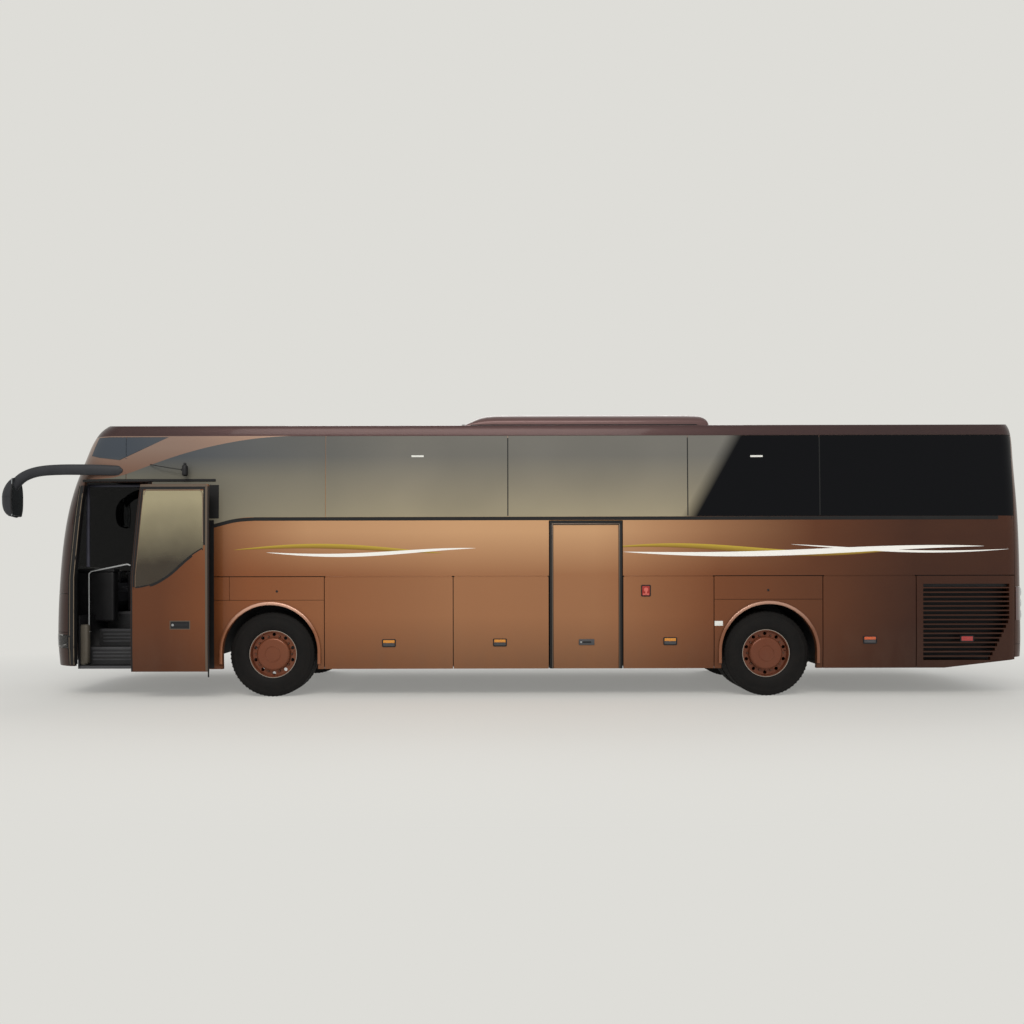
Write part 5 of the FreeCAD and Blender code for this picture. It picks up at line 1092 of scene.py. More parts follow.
def put_entrance_leaf():
    """Seals, dark window frame, printed sill edge, bronze edging and handle of the open door."""
    shift = 0.784
    foot, head = 0.36, 2.58
    slant = [(doorway_edge(z) + shift, z) for z in (foot, waist, head)]
    over_sill = [(doorway_edge(z) + shift, z) for z in (1.36, waist, head)]
    back = leaf_high.x
    seals = [leaf_strip([(x + 0.023, z) for x, z in slant], 0.019, 0.0008),
             leaf_strip([(x + 0.049, z) for x, z in over_sill], 0.026, 0.0007),
             leaf_strip([(back - 0.038, 1.86), (back - 0.038, 2.56)], 0.026, 0.0007),
             leaf_strip([(-4.525, 2.541), (-3.76, 2.541)], 0.034, 0.0018)]
    piece("entrance_seals", seals, seal_rubber, "entrance_door", 30.0)

    sill = [(x + shift, z + 0.02) for x, z in sill_line()]
    sill = [(x, z) for x, z in sill if leaf_low.x + 0.03 < x < leaf_high.x - 0.03]
    piece("entrance_sill_print", leaf_strip(sill, 0.03, 0.0009), seal_rubber, "entrance_door", 30.0)

    bow = [(-4.492, 2.46), (-4.475, 2.505), (-4.43, 2.523), (-4.2, 2.525), (-3.87, 2.525), (-3.815, 2.508),
           (-3.792, 2.45), (-3.79, 2.2), (-3.79, 1.9)]
    edges = [laid_strip([on_leaf(p.x, p.y) for p in smooth_line(bow, 4)], 0.012, 0.0016),
             leaf_strip([(doorway_edge(z) + shift + 0.066, z) for z in (1.36, waist, 2.44)], 0.006, 0.0012)]
    piece("entrance_edging", edges, bronze, "entrance_door", 30.0)

    lip = []
    for z in (0.285, 0.32, 0.37, 0.6, 1.0, 1.4, 1.8, 2.2, 2.4, 2.56):
        skin = on_leaf(back - 0.006, max(z, 0.37))[0].y
        lip.append((Vector((back + 0.007, skin - 0.0004, z)), Vector((0, -1, 0))))
    piece("entrance_edge_seal", laid_strip(lip, 0.018, 0.0012, 0.0), seal_rubber, "entrance_door", 40.0)
    guard = [leaf_strip([(back - 0.016, foot), (back - 0.016, head)], 0.026, 0.0008),
             leaf_strip([(-4.54, 2.571), (-3.75, 2.571)], 0.03, 0.003)]
    piece("entrance_edge_guard", guard, edge_metal, "entrance_door", 40.0)

    x, z = camera_x + (180 - 512) * leaf_pixel, camera_z - (624.5 - 566.4) * leaf_pixel
    face = on_leaf(x, z)[0].y
    plate = soft_box((x - 0.122, face - 0.0006, z - 0.052), (x + 0.122, face + 0.004, z + 0.052), 0.0004, 1)
    dish = soft_box((x - 0.112, face - 0.0009, z - 0.043), (x + 0.112, face + 0.004, z + 0.043), 0.0004, 1)
    bar = soft_box((x - 0.06, face - 0.0013, z - 0.008), (x + 0.095, face + 0.004, z + 0.018), 0.0004, 1)
    lock = spin([(0.004, 0.0), (0.004, 0.015), (-0.001, 0.015), (-0.0013, 0.012), (-0.0013, 0.0)],
                (x - 0.086, face, z), (0, 1, 0), 24)
    piece("entrance_handle_frame", plate, edge_metal, "entrance_door")
    piece("entrance_handle_dish", dish, trim_black, "entrance_door")
    piece("entrance_handle_bar", bar, dark_metal, "entrance_door")
    piece("entrance_handle_lock", lock, steel, "entrance_door")

    inner = leaf_high.y
    grab = smooth_line([(-4.52, inner - 0.004, 0.78), (-4.52, inner + 0.045, 0.8), (-4.5, inner + 0.055, 1.0),
                        (-4.2, inner + 0.055, 1.42), (-3.95, inner + 0.055, 1.5),
                        (-3.86, inner + 0.045, 1.51), (-3.86, inner - 0.004, 1.51)], 5)
    piece("entrance_inner_rail", tube(grab, 0.014, 12), steel, "entrance_door")


def side_strip(places, width, thick):
    """A strip laid on the nearside wall."""
    return laid_strip([on_side(x, z) for x, z in closely(places)], width, thick)


def put_doorway():
    """The doorway's dark frame, the rail over it, the tread edges and ribs."""
    foot, head, over_steps = 0.41, 2.6, 1.25
    edge = [(doorway_edge(z), z) for z in (foot, waist, head)]
    frames = [side_strip([(x - 0.045, z) for x, z in edge], 0.084, 0.0022),
              side_strip([(-5.36, 2.657), (-3.72, 2.657)], 0.032, 0.01)]
    reveal = []
    for x, z in closely(edge):
        skin = on_side(x - 0.006, z)[0].y
        reveal.append((Vector((x - 0.001, skin + 0.03, z)), Vector((1, 0, 0))))
    frames.append(laid_strip(reveal, 0.064, 0.003))
    piece("doorway_frame", frames, seal_rubber, crease=30.0)
    edging = [side_strip([(x - 0.008, z) for x, z in edge[:-1] + [(doorway_edge(2.5), 2.5)]], 0.008, 0.005),
              side_strip([(x - 0.062, z) for x, z in edge], 0.006, 0.004)]
    piece("doorway_edging", edging, bronze, crease=30.0)

    nosing, tread = [], []
    for x0, x1, count in ((-5.4, -4.53, 4), (0.4, 1.19, 5)):
        for step in range(count):
            z = step_foot + step_rise * step
            hit, _ = touch(((x0 + x1) / 2, -1.6, z - 0.02), (0, 1, 0), "entry_steps")
            if hit is None or z > over_steps:
                continue
            y = hit.y
            nosing.append(soft_box((x0, y - 0.0035, z - 0.03), (x1, y + 0.03, z + 0.0035), 0.003, 2))
            for line in range(6):
                at = y + 0.04 + line * 0.025
                tread.append(soft_box((x0 + 0.03, at, z), (x1 - 0.03, at + 0.011, z + 0.003), 0.0015, 1))
    piece("step_nosings", nosing, trim_grey)
    piece("step_ribs", tread, seal_rubber)


put_pane_joints()
put_entrance_leaf()
put_doorway()


def put_side_camera():
    """A small look-down mirror over the door on a thin bent rod."""
    root, _ = on_side(-4.52, 2.85)
    rod_line = smooth_line([root + Vector((0, 0.002, 0)), root + Vector((0.03, -0.03, -0.005)),
                            (-4.35, -1.32, 2.818), (-4.15, -1.335, 2.785), (-4.085, -1.335, 2.778)], 6)
    piece("door_mirror_rod", tube(rod_line, 0.005, 8), trim_black)
    head = [soft_box((-4.092, -1.375, 2.7), (-4.035, -1.3, 2.835), 0.022, 4),
            soft_box((-4.082, -1.35, 2.83), (-4.047, -1.325, 2.862), 0.01, 3),
            soft_box((-4.112, -1.352, 2.765), (-4.085, -1.32, 2.792), 0.008, 2)]
    piece("door_mirror_head", head, trim_black)


put_side_camera()


def put_mirrors():
    """Each mirror: a tapering arm that curves down into a rounded housing, with a rim round the glass."""
    low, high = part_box("mirror_glasses")
    back, middle, half = low.x - 0.002, -1.345, 0.11
    foot, top = low.z - 0.022, high.z + 0.022
    line = [(-4.862, -1.228, 2.777), (-4.95, -1.262, 2.779), (-5.25, -1.305, 2.784), (-5.6, -1.335, 2.78),
            (-5.84, -1.342, 2.757), (-6.0, -1.345, 2.7), (-6.1, -1.345, 2.615), (-6.155, -1.345, 2.52)]
    girth = [(0.022, 0.056), (0.028, 0.062), (0.032, 0.065), (0.035, 0.064), (0.04, 0.062), (0.05, 0.06),
             (0.058, 0.058), (0.05, 0.05)]
    arm_line = smooth_line(line, 6)
    sizes = [(p.x, p.y) for p in smooth_line(girth, 6)]
    arm_shape = sweep(arm_line, round_section(1.0, 20), sizes=sizes)
    boot = spin([(0.0, 0.0), (0.0, 0.036), (0.006, 0.034), (0.012, 0.026), (0.012, 0.0)],
                on_side(-4.89, 2.778)[0], (0, -1, 0), 28)

    rows, columns = 22, 18
    points = []
    for j in range(rows + 1):
        t = 2 * j / rows - 1
        swell = max(0.0, 1 - abs(t) ** (1.9 if t > 0 else 3.2)) ** (0.7 if t > 0 else 0.5)
        for k in range(columns + 1):
            a = pi * k / columns
            points.append(Vector((back - 0.155 * swell * sin(a) ** 0.75,
                                  middle - half * swell ** 0.6 * cos(a),
                                  (foot + top) / 2 + t * (top - foot) / 2)))
    wide = columns + 1
    faces = sheet(rows + 1, wide)
    front_edge = [j * wide for j in range(rows + 1)]
    faces.append(front_edge + [j + columns for j in reversed(front_edge)])
    rim = [points[j * wide] + Vector((0.004, 0, 0)) for j in range(1, rows)]
    rim += [points[j * wide + columns] + Vector((0.004, 0, 0)) for j in range(rows - 1, 0, -1)]
    seam = [points[rows // 2 * wide + k] + Vector((-0.001, 0, 0)) for k in range(wide)]
    for hand, flip in hands:
        made = [piece("mirror_arm_" + hand, flip(join_all([arm_shape, boot])), trim_dark, crease=50.0),
                piece("mirror_housing_" + hand, flip((points, faces)), trim_dark, crease=50.0),
                piece("mirror_rim_" + hand,
                      flip(join_all([tube(rim, 0.0085, 10, True), tube(seam, 0.0022, 6)])), trim_black,
                      crease=60.0)]
        for thing in made:
            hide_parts("mirrors")


put_mirrors()


# Seats

lean = radians(13)
back_up = Vector((sin(lean), 0, cos(lean)))
back_face = Vector((-cos(lean), 0, sin(lean)))
back_across = Vector((0, -1, 0))


def pad_lines(*inner):
    """Grid lines of a pad from edge to edge: close together at the rim, with the given ones between."""
    rim_shares = (1.0, 0.975, 0.91, 0.8)
    return sorted({way * share for way in (-1, 1) for share in rim_shares} | set(inner))


def pillow(wide, high, thick, across, along, corner):
    """A closed crowned pad that lies flat round the origin, its seam halfway up. Its rim comes back too."""
    points, index = [], {}
    for way in (1, -1):
        for j, v in enumerate(along):
            over = max(0.0, abs(v) * high / 2 - (high / 2 - corner)) / corner
            reach = wide / 2 - corner * (1 - sqrt(max(0.0, 1 - over * over)))
            for i, u in enumerate(across):
                rim = abs(u) == 1 or abs(v) == 1
                if rim and way < 0:
                    index[way, i, j] = index[1, i, j]
                    continue
                index[way, i, j] = len(points)
                swell = sqrt((1 - abs(u) ** 5) * (1 - abs(v) ** 5))
                points.append(Vector((u * reach, v * high / 2, way * thick / 2 * swell)))
    faces = []
    for way in (1, -1):
        for j in range(len(along) - 1):
            for i in range(len(across) - 1):
                ring = [index[way, i, j], index[way, i + 1, j], index[way, i + 1, j + 1],
                        index[way, i, j + 1]]
                faces.append(ring if way > 0 else ring[::-1])
    last_i, last_j = len(across) - 1, len(along) - 1
    rim = [(i, 0) for i in range(last_i)] + [(last_i, j) for j in range(last_j)]
    rim += [(last_i - i, last_j) for i in range(last_i)] + [(0, last_j - j) for j in range(last_j)]
    return (points, faces), [index[1, i, j] for i, j in rim]


def puffed(shape, most=0.01):
    """Fills a pad with air pressure, as cloth, and caps how far a point may move."""
    points, faces = shape
    mesh = bpy.data.meshes.new("pad")
    mesh.from_pydata(points, [], faces)
    pad = bpy.data.objects.new("pad", mesh)
    scene = bpy.context.scene
    scene.collection.objects.link(pad)
    cloth = pad.modifiers.new("air", "CLOTH")
    cloth.settings.use_pressure = True
    cloth.settings.uniform_pressure_force = 4.0
    cloth.settings.effector_weights.gravity = 0.0
    cloth.point_cache.frame_end = 20
    for step in range(1, 21):
        scene.frame_set(step)
    soft = pad.evaluated_get(bpy.context.evaluated_depsgraph_get()).data
    filled = []
    for before, vertex in zip(points, soft.vertices):
        move = vertex.co - before
        filled.append(before + move * min(1.0, most / max(move.length, 1e-9)))
    scene.frame_set(1)
    bpy.data.objects.remove(pad)
    return filled, faces


def sewn(shape, across=(), along=(), depth=0.007, broad=0.007):
    """Presses sewn channels into the pad's face along the given lines, in metres from its middle."""
    points, faces = shape
    pressed = []
    for p in points:
        pull = sum(bell((p.x - line) / broad) for line in across)
        pull += sum(bell((p.y - line) / broad) for line in along)
        pressed.append(p - Vector((0, 0, depth * min(1.0, pull))) if p.z > 0.004 else p)
    return pressed, faces


def bell(share):
    """1 at zero, falling away softly on both sides."""
    return 1 / (1 + share * share) ** 3


def set_in(shape, origin, across, along):
    """A shape carried from its own flat frame to a place on the coach."""
    points, faces = shape
    out = across.cross(along)
    return [origin + across * p.x + along * p.y + out * p.z for p in points], faces


def make_pad(wide, high, thick, across_lines, along_lines, corner, most=0.01):
    """A filled, sewn pad and the piping round its seam."""

    def shares(lines, half):
        near = [line / half + step for line in lines for step in (-0.03, 0.0, 0.03)]
        return pad_lines(*[k / 5 for k in range(-3, 4) if all(abs(k / 5 - n) > 0.05 for n in near)], *near)

    flat, rim = pillow(wide, high, thick, shares(across_lines, wide / 2), shares(along_lines, high / 2),
                       corner)
    full = puffed(flat, most)
    piping = tube([full[0][k] for k in rim], 0.0032, 5, True)
    return sewn(full, across_lines, along_lines), piping


base_pad, base_piping = make_pad(0.445, 0.43, 0.088, (-0.15, 0.15), (-0.12, 0.0, 0.12), 0.05)
back_pad, back_piping = make_pad(0.44, 0.51, 0.072, (-0.14, 0.14), (-0.15, -0.05, 0.05, 0.15), 0.06)
head_pad, head_piping = make_pad(0.3, 0.165, 0.066, (), (0.0,), 0.045, 0.007)
shell_form = pillow(0.47, 0.69, 0.026, pad_lines(-0.4, 0.0, 0.4), pad_lines(-0.4, 0.0, 0.4), 0.07)[0]


def seat(x, y, floor, kit):
    top = floor + 0.44
    flat_across, flat_along = Vector((0, -1, 0)), Vector((1, 0, 0))
    base = Vector((x + 0.222, y, top - 0.054))
    hinge = Vector((x + 0.355, y, top))
    back = hinge + back_up * 0.275 - back_face * 0.043
    head = hinge + back_up * 0.628 - back_face * 0.042
    kit["cushions"].append(set_in(base_pad, base, flat_across, flat_along))
    kit["backs"].append(set_in(back_pad, back, back_across, back_up))
    kit["headrests"].append(set_in(head_pad, head, back_across, back_up))
    kit["piping"] += [set_in(base_piping, base, flat_across, flat_along),
                      set_in(back_piping, back, back_across, back_up),
                      set_in(head_piping, head, back_across, back_up)]
    kit["shells"].append(set_in(shell_form, hinge + back_up * 0.365 - back_face * 0.082, back_across,
                                back_up))


def arm(x, y, floor):
    """An armrest with its pivot at the back frame."""
    z = floor + 0.655
    return join_all([soft_box((x + 0.09, y - 0.0135, z), (x + 0.4, y + 0.0135, z + 0.036), 0.011, 3),
                     soft_box((x + 0.375, y - 0.011, z - 0.02), (x + 0.415, y + 0.011, z + 0.028), 0.01, 2)])


def pair_frame(x, y, floor):
    """Two legs, their feet and the beams that carry a pair."""
    shapes = []
    for at in (y - 0.2, y + 0.2):
        shapes.append(soft_box((x + 0.1, at - 0.025, floor), (x + 0.36, at + 0.025, floor + 0.02), 0.006))
        shapes.append(soft_box((x + 0.19, at - 0.018, floor + 0.015), (x + 0.26, at + 0.018, floor + 0.325),
                               0.008))
    for along in (0.09, 0.35):
        shapes.append(tube([(x + along, y - 0.475, floor + 0.322), (x + along, y + 0.475, floor + 0.322)],
                           0.0135, 10))
    return join_all(shapes)


seat_finish = {"cushions": fabric, "backs": fabric, "headrests": leather, "piping": piping_cloth,
               "shells": trim_grey}


def put_passenger_seats():
    """Rows of double seats in the place of the plain ones, the nearside ones clear of the middle stairs."""
    floor, middle, seat_off = 1.38, 0.7078, 0.245
    over_stairs = (4, 5)
    names = []
    for hand, way in (("left", -1), ("right", 1)):
        kit = {key: [] for key in (*seat_finish, "arms", "frames", "nets")}
        for row in range(row_count):
            if way < 0 and row in over_stairs:
                continue
            x = first_row + row * row_pitch
            for off in (-seat_off, seat_off):
                seat(x, way * middle + off, floor, kit)
            kit["arms"] += [arm(x, way * middle, floor), arm(x, way * (middle - 0.478), floor)]
            kit["frames"].append(pair_frame(x, way * middle, floor))
            for off in (-seat_off, seat_off):
                hinge = Vector((x + 0.355, way * middle + off, floor + 0.44))
                place = hinge + back_up * 0.37 - back_face * 0.0965
                kit["nets"].append(set_in(soft_box((-0.18, -0.11, -0.006), (0.18, 0.13, 0.006), 0.004), place,
                                          back_across, back_up))
        finishes = {**seat_finish, "arms": trim_black, "frames": dark_metal, "nets": trim_dark}
        for key, finish in finishes.items():
            made = piece("seat_%s_%s" % (key, hand), kit[key], finish, crease=60.0)
            names.append(made)
    for made in names:
        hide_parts("passenger_seats")


def put_crew_seats():
    """The driver's and the guide's seats on their pedestals."""
    kit = {key: [] for key in seat_finish}
    floor = 1.01
    hard, soft = [], []
    for x, y in ((-4.612, 0.64), (-4.337, -0.64)):
        seat(x, y, floor, kit)
        hard += [arm(x, y + way * 0.245, floor) for way in (-1, 1)]
        hard.append(soft_box((x + 0.02, y - 0.225, 1.335), (x + 0.43, y + 0.225, 1.36), 0.01))
        for fold in range(5):
            inset = 0.012 * (fold % 2)
            low = 1.06 + fold * 0.055
            near, far, half = x + 0.09 + inset, x + 0.36 - inset, 0.17 - inset
            soft.append(soft_box((near, y - half, low), (far, y + half, low + 0.057), 0.02, 3))
        hard.append(soft_box((x + 0.06, y - 0.2, 1.0103), (x + 0.4, y + 0.2, 1.065), 0.012))
    made = [piece("crew_" + key, kit[key], finish, crease=60.0) for key, finish in seat_finish.items()]
    made.append(piece("crew_seat_bases", hard, trim_black, crease=40.0))
    made.append(piece("crew_seat_bellows", soft, seal_rubber, crease=60.0))
    for thing in made:
        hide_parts("crew_seats")


put_passenger_seats()
put_crew_seats()


# Roof

def roof_line(y):
    """The roof's height over a station across the coach."""
    return 3.452 - 0.0857 * y * y


def put_cooler():
    """The cooling unit: a crowned pod with a sloping nose, a dark foot and four fan guards."""
    low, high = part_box("roof_cooler")
    half, x0, x1 = 0.955, low.x, high.x
    profile = smooth_line([(x0, 0.012), (x0 + 0.05, 0.034), (x0 + 0.14, 0.085), (x0 + 0.24, 0.126),
                           (x0 + 0.36, 0.145), (x0 + 0.55, 0.149), (0.5, 0.15), (1.2, 0.15),
                           (x1 - 0.35, 0.149), (x1 - 0.12, 0.144), (x1 - 0.05, 0.125), (x1 - 0.012, 0.085),
                           (x1, 0.03)], 3)
    count = 40
    points = []
    for p in profile:
        for k in range(count + 1):
            a = pi * k / count
            y = -half * (1 if a < pi / 2 else -1) * abs(cos(a)) ** 0.4
            points.append(Vector((p.x, y, roof_line(y) - 0.006 + p.y * max(0.0, sin(a)) ** 0.45)))
    rim = count + 1
    faces = sheet(len(profile), rim)
    faces += [list(range(rim))[::-1], [(len(profile) - 1) * rim + j for j in range(rim)]]
    pod = piece("cooler_pod", (points, faces), lit_pod_paint, crease=30.0)
    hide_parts("roof_cooler")

    foot = [(x0 - 0.004, y / 10) for y in range(-9, 10)] + [(x / 10, half) for x in range(-6, 24, 2)]
    foot += [(x1 + 0.002, -y / 10) for y in range(-9, 10)] + [(-x / 10, -half) for x in range(-22, 7, 2)]
    path = [Vector((x, y, roof_line(y) + 0.002)) for x, y in foot]
    piece("cooler_foot", tube(path, 0.011, 8, True), seal_rubber, crease=60.0)

    guards, wells = [], []
    for x in (0.42, 1.42):
        for y in (-0.3, 0.3):
            centre = Vector((x, y, roof_line(y) + 0.126))
            up = Vector((0, y * 0.28, 1)).normalized()
            over = up.cross(Vector((1, 0, 0)))

            def on_disc(radius, a, rise):
                return centre + Vector((radius * cos(a), 0, 0)) + over * (radius * sin(a)) + up * rise

            wells.append(spin([(-0.02, 0.0), (-0.02, 0.195), (0.016, 0.202), (0.019, 0.192), (0.014, 0.185),
                               (0.013, 0.0)], centre, up, 48))
            for radius in (0.05, 0.08, 0.11, 0.14, 0.17):
                guards.append(tube([on_disc(radius, 2 * pi * k / 32, 0.016) for k in range(32)], 0.0026, 6,
                                   True))
            for k in range(6):
                guards.append(tube([on_disc(0.186, pi * k / 6, 0.0185), on_disc(-0.186, pi * k / 6, 0.0185)],
                                   0.0026, 6))
    piece("cooler_fan_wells", wells, trim_black)
    piece("cooler_fan_guards", guards, dark_metal)
    foot, top = roof_line(0.36) + 0.135, roof_line(0.36) + 0.162
    vents = [soft_box((x - 0.1, y - 0.022, foot), (x + 0.1, y + 0.022, top), 0.008, 2)
             for x in (-0.28, 2.02) for y in [-0.36 + k * 0.12 for k in range(7)]]
    piece("cooler_vents", vents, trim_black)


def put_hatch_trim():
    """A rubber seal round each roof hatch and two stiffening ribs on its lid."""
    for end in ("front", "rear"):
        low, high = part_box("roof_hatch_" + end)
        near, far, top = low.x + 0.1, high.x - 0.1, high.z
        ribs = [soft_box((near, y - 0.016, top - 0.012), (far, y + 0.016, top + 0.005), 0.006)
                for y in (-0.15, 0.0, 0.15)]
        piece("hatch_ribs_" + end, ribs, roof_paint, "hatch_" + end)
        gap, hinge_side = 0.012, high.x - 0.03
        front, left, right = low.x - gap, low.y - gap, high.y + gap
        corners = [(hinge_side, left), (front, left), (front, right), (hinge_side, right)]
        path = [Vector((x, y, roof_line(y) + 0.003)) for x, y in edge_points(corners, 8)]
        piece("hatch_seal_" + end, tube(path, 0.008, 8), seal_rubber, crease=60.0)


put_cooler()
put_hatch_trim()


# Nose

nose_nodes = ("front_frame", "front_mask", "bumpers", "windscreen")


def on_nose(y, z, *names):
    """The nose's outer face, seen from in front."""
    hit, out = touch((-9, y, z), (1, 0, 0), *(names or nose_nodes))
    return hit or Vector((nose, y, z)), out or Vector((-1, 0, 0))


def put_windscreen_print():
    """The black printed border of the windscreen, the seal round it and the split display box behind it."""
    low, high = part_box("windscreen")
    inset, cut, head = 0.045, 0.1, high.z
    h, f, t = high.y - inset, low.z + inset, head - inset
    corners = [(-h + 0.1, f), (h - 0.1, f), (h, f + cut), (h - 0.03, t - cut), (h - 0.14, t), (-h + 0.14, t),
               (-h + 0.03, t - cut), (-h, f + cut)]
    ring = edge_points(corners + corners[:1], 10)
    places = [on_nose(y, z, "windscreen") for y, z in ring + ring[1:2]]
    piece("windscreen_print", laid_strip(places, 0.075, 0.0012), seal_rubber, crease=40.0)
    top = [on_nose(y / 10, head - 0.14, "windscreen") for y in range(-8, 9)]
    piece("windscreen_shade", laid_strip(top, 0.16, 0.0009), seal_rubber, crease=40.0)
    inner = [soft_box((-5.5, -0.62, 2.74), (-5.42, 0.62, 2.98), 0.012),
             soft_box((-5.52, -0.56, 2.79), (-5.495, 0.56, 2.94), 0.006)]
    piece("display_box", inner, trim_black)


def put_headlamps():
    """Each lamp: three bowls with dark rims behind a clear cover that follows the nose."""
    for hand, flip in hands:
        bowls, bulbs, bezel = [], [], []
        for a, radius, dark in ((172, 0.06, False), (150, 0.058, False), (128, 0.05, True)):
            way = Vector((cos(radians(a)), -sin(radians(a)), 0))
            hit, _ = touch(lamp_middle + way * 2.0, -way, "headlamps")
            if hit is None:
                continue
            seat_at = hit - way * 0.012
            form = spin([(0.0, radius), (-0.01, radius * 0.98), (-0.035, radius * 0.75),
                         (-0.055, radius * 0.35), (-0.06, 0.0), (-0.064, 0.0), (-0.06, radius * 0.4),
                         (-0.038, radius * 0.82), (-0.012, radius * 1.07), (0.0, radius * 1.08)], seat_at,
                        way, 32)
            (bezel if dark else bowls).append(form)
            bulbs.append(spin([(-0.058, 0.0), (-0.055, 0.01), (-0.028, 0.011), (-0.02, 0.007), (-0.018, 0.0)],
                              seat_at, way, 14))
            bezel.append(spin([(-0.004, radius * 1.02), (0.003, radius * 1.05), (0.003, radius * 1.12),
                               (-0.006, radius * 1.16), (-0.012, radius * 1.08)], seat_at, way, 32))
        piece("lamp_bowls_" + hand, flip(join_all(bowls)), chrome)
        piece("lamp_bulbs_" + hand, flip(join_all(bulbs)), silver_bowl)
        piece("lamp_bezels_" + hand, flip(join_all(bezel)), trim_black)
        rows = (0.612, 0.622, 0.65, 0.69, 0.73, 0.758, 0.768)
        cover = []
        for z in rows:
            line = []
            for a in range(178, 105, -4):
                way = Vector((cos(radians(a)), -sin(radians(a)), 0))
                start = Vector((lamp_middle.x, lamp_middle.y, z)) + way * 2.0
                line.append(touch(start, -way, "headlamps")[0])
            cover.append(line)
        columns = [k for k in range(len(cover[0])) if all(row[k] is not None for row in cover)]
        points = [row[k] for row in cover for k in columns]
        faces = sheet(len(rows), len(columns))
        glass = piece("lamp_cover_" + hand, flip((points, faces)), lamp_glass, crease=60.0)
        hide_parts("headlamps")
        back = [p - (p - Vector((lamp_middle.x, lamp_middle.y, p.z))).normalized() * 0.085 for p in points]
        piece("lamp_back_" + hand, flip((back, faces)), trim_black, crease=60.0)


def blank_plate(x, z, way, body, name):
    """A blank plate with rounded corners in a dark holder with two screws."""
    shift, wide, high = 0.004 * way, plate_wide / 2, plate_high / 2
    edge = 0.008
    holder = soft_box((min(x, x + shift * 1.5), -wide - edge, z - high - edge),
                      (max(x, x + shift * 1.5), wide + edge, z + high + edge), 0.0028)
    face = soft_box((min(x + shift, x + shift * 2.2), -wide, z - high),
                    (max(x + shift, x + shift * 2.2), wide, z + high), 0.0024)
    screws = [spin([(0, 0), (0, 0.006), (0.0015, 0.0055), (0.0022, 0.003), (0.0022, 0)],
                   (x + shift * 2.2, end * plate_wide * 0.36, z), (way, 0, 0), 16) for end in (-1, 1)]
    piece(name + "_holder", holder, trim_black, body)
    piece(name + "_face", face, plate_white, body)
    piece(name + "_screws", screws, steel, body)


def put_nose_fittings():
    """The blank front plate, fog lamps, wiper spindles and the washer jets."""
    hit, _ = on_nose(0.0, 0.5)
    blank_plate(hit.x + 0.002, 0.5, -1, "coach", "front_plate")
    for hand, flip in hands:
        hit, out = on_nose(-0.8, 0.46)
        lamp_face = spin([(-0.01, 0.0), (-0.01, 0.052), (0.002, 0.052), (0.007, 0.042), (0.01, 0.0)], hit,
                         out, 32)
        rim = spin([(-0.012, 0.05), (0.004, 0.053), (0.008, 0.06), (0.002, 0.066), (-0.012, 0.066)], hit,
                   out, 32)
        piece("fog_lamp_" + hand, flip(lamp_face), lamp_white)
        piece("fog_rim_" + hand, flip(rim), trim_black)
    spindle_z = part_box("wipers")[0].z + 0.035
    caps = [spin([(-0.012, 0.0), (-0.012, 0.021), (0.008, 0.021), (0.014, 0.013), (0.015, 0.0)],
                 on_nose(y, spindle_z)[0], (-1, 0, 0.2), 20) for y in (-0.62, 0.52)]
    jets = [spin([(-0.004, 0.0), (-0.004, 0.009), (0.005, 0.008), (0.008, 0.0)], on_nose(y, 1.29)[0],
                 (-1, 0, 0.3), 14)
            for y in (-0.3, 0.0, 0.3)]
    piece("wiper_caps", caps + jets, trim_black)
    slats = []
    for k in range(5):
        z = 0.86 + k * 0.045
        line = [on_nose(y / 20, z) for y in range(-11, 12)]
        slats.append(laid_strip(line, 0.022, 0.006))
    piece("nose_slats", slats, trim_black, crease=30.0)


put_windscreen_print()
put_headlamps()
put_nose_fittings()


# Tail

tail_nodes = ("rear_mask", "engine_lid", "bumpers", "tail_lamps", "side_glass", "roof")


def on_tail(y, z, *names):
    """The tail's outer face, seen from behind."""
    hit, out = touch((9, y, z), (-1, 0, 0), *(names or tail_nodes))
    return hit or Vector((tail, y, z)), out or Vector((1, 0, 0))


def round_lens(y, z, radius):
    """A round tail lamp: its domed lens and its rim."""
    hit, out = on_tail(y, z, "tail_lamps")
    out = Vector((out.x, out.y, 0)).normalized()
    face = spin([(-0.012, 0.0), (-0.012, radius * 0.9), (0.001, radius * 0.9), (0.0035, radius * 0.6),
                 (0.0045, 0.0)], hit, out, 36)
    rim = spin([(-0.012, radius * 0.88), (0.003, radius * 0.92), (0.0045, radius * 0.98),
                (0.001, radius * 1.05), (-0.012, radius * 1.05)], hit, out, 36)
    return face, rim


def put_tail_lamps():
    """Three round lamps in a column on each side."""
    for hand, flip in hands:
        rims = []
        for k, (z, finish) in enumerate(((1.272, red), (1.135, orange), (0.998, lamp_white))):
            face, rim = round_lens(-1.1, z, 0.056)
            piece("tail_lens_%s_%d" % (hand, k), flip(face), finish)
            rims.append(rim)
        piece("tail_rims_" + hand, flip(join_all(rims)), chrome)


def put_grille_boxes():
    """A dark duct behind each side grille."""
    duct = [soft_box((4.86, -1.17, 0.43), (5.95, -1.1, 1.4), 0.01),
            soft_box((4.86, -1.17, 0.43), (5.95, -0.9, 0.46), 0.01)]
    for hand, flip in hands:
        piece("grille_duct_" + hand, flip(join_all(duct)), trim_black)


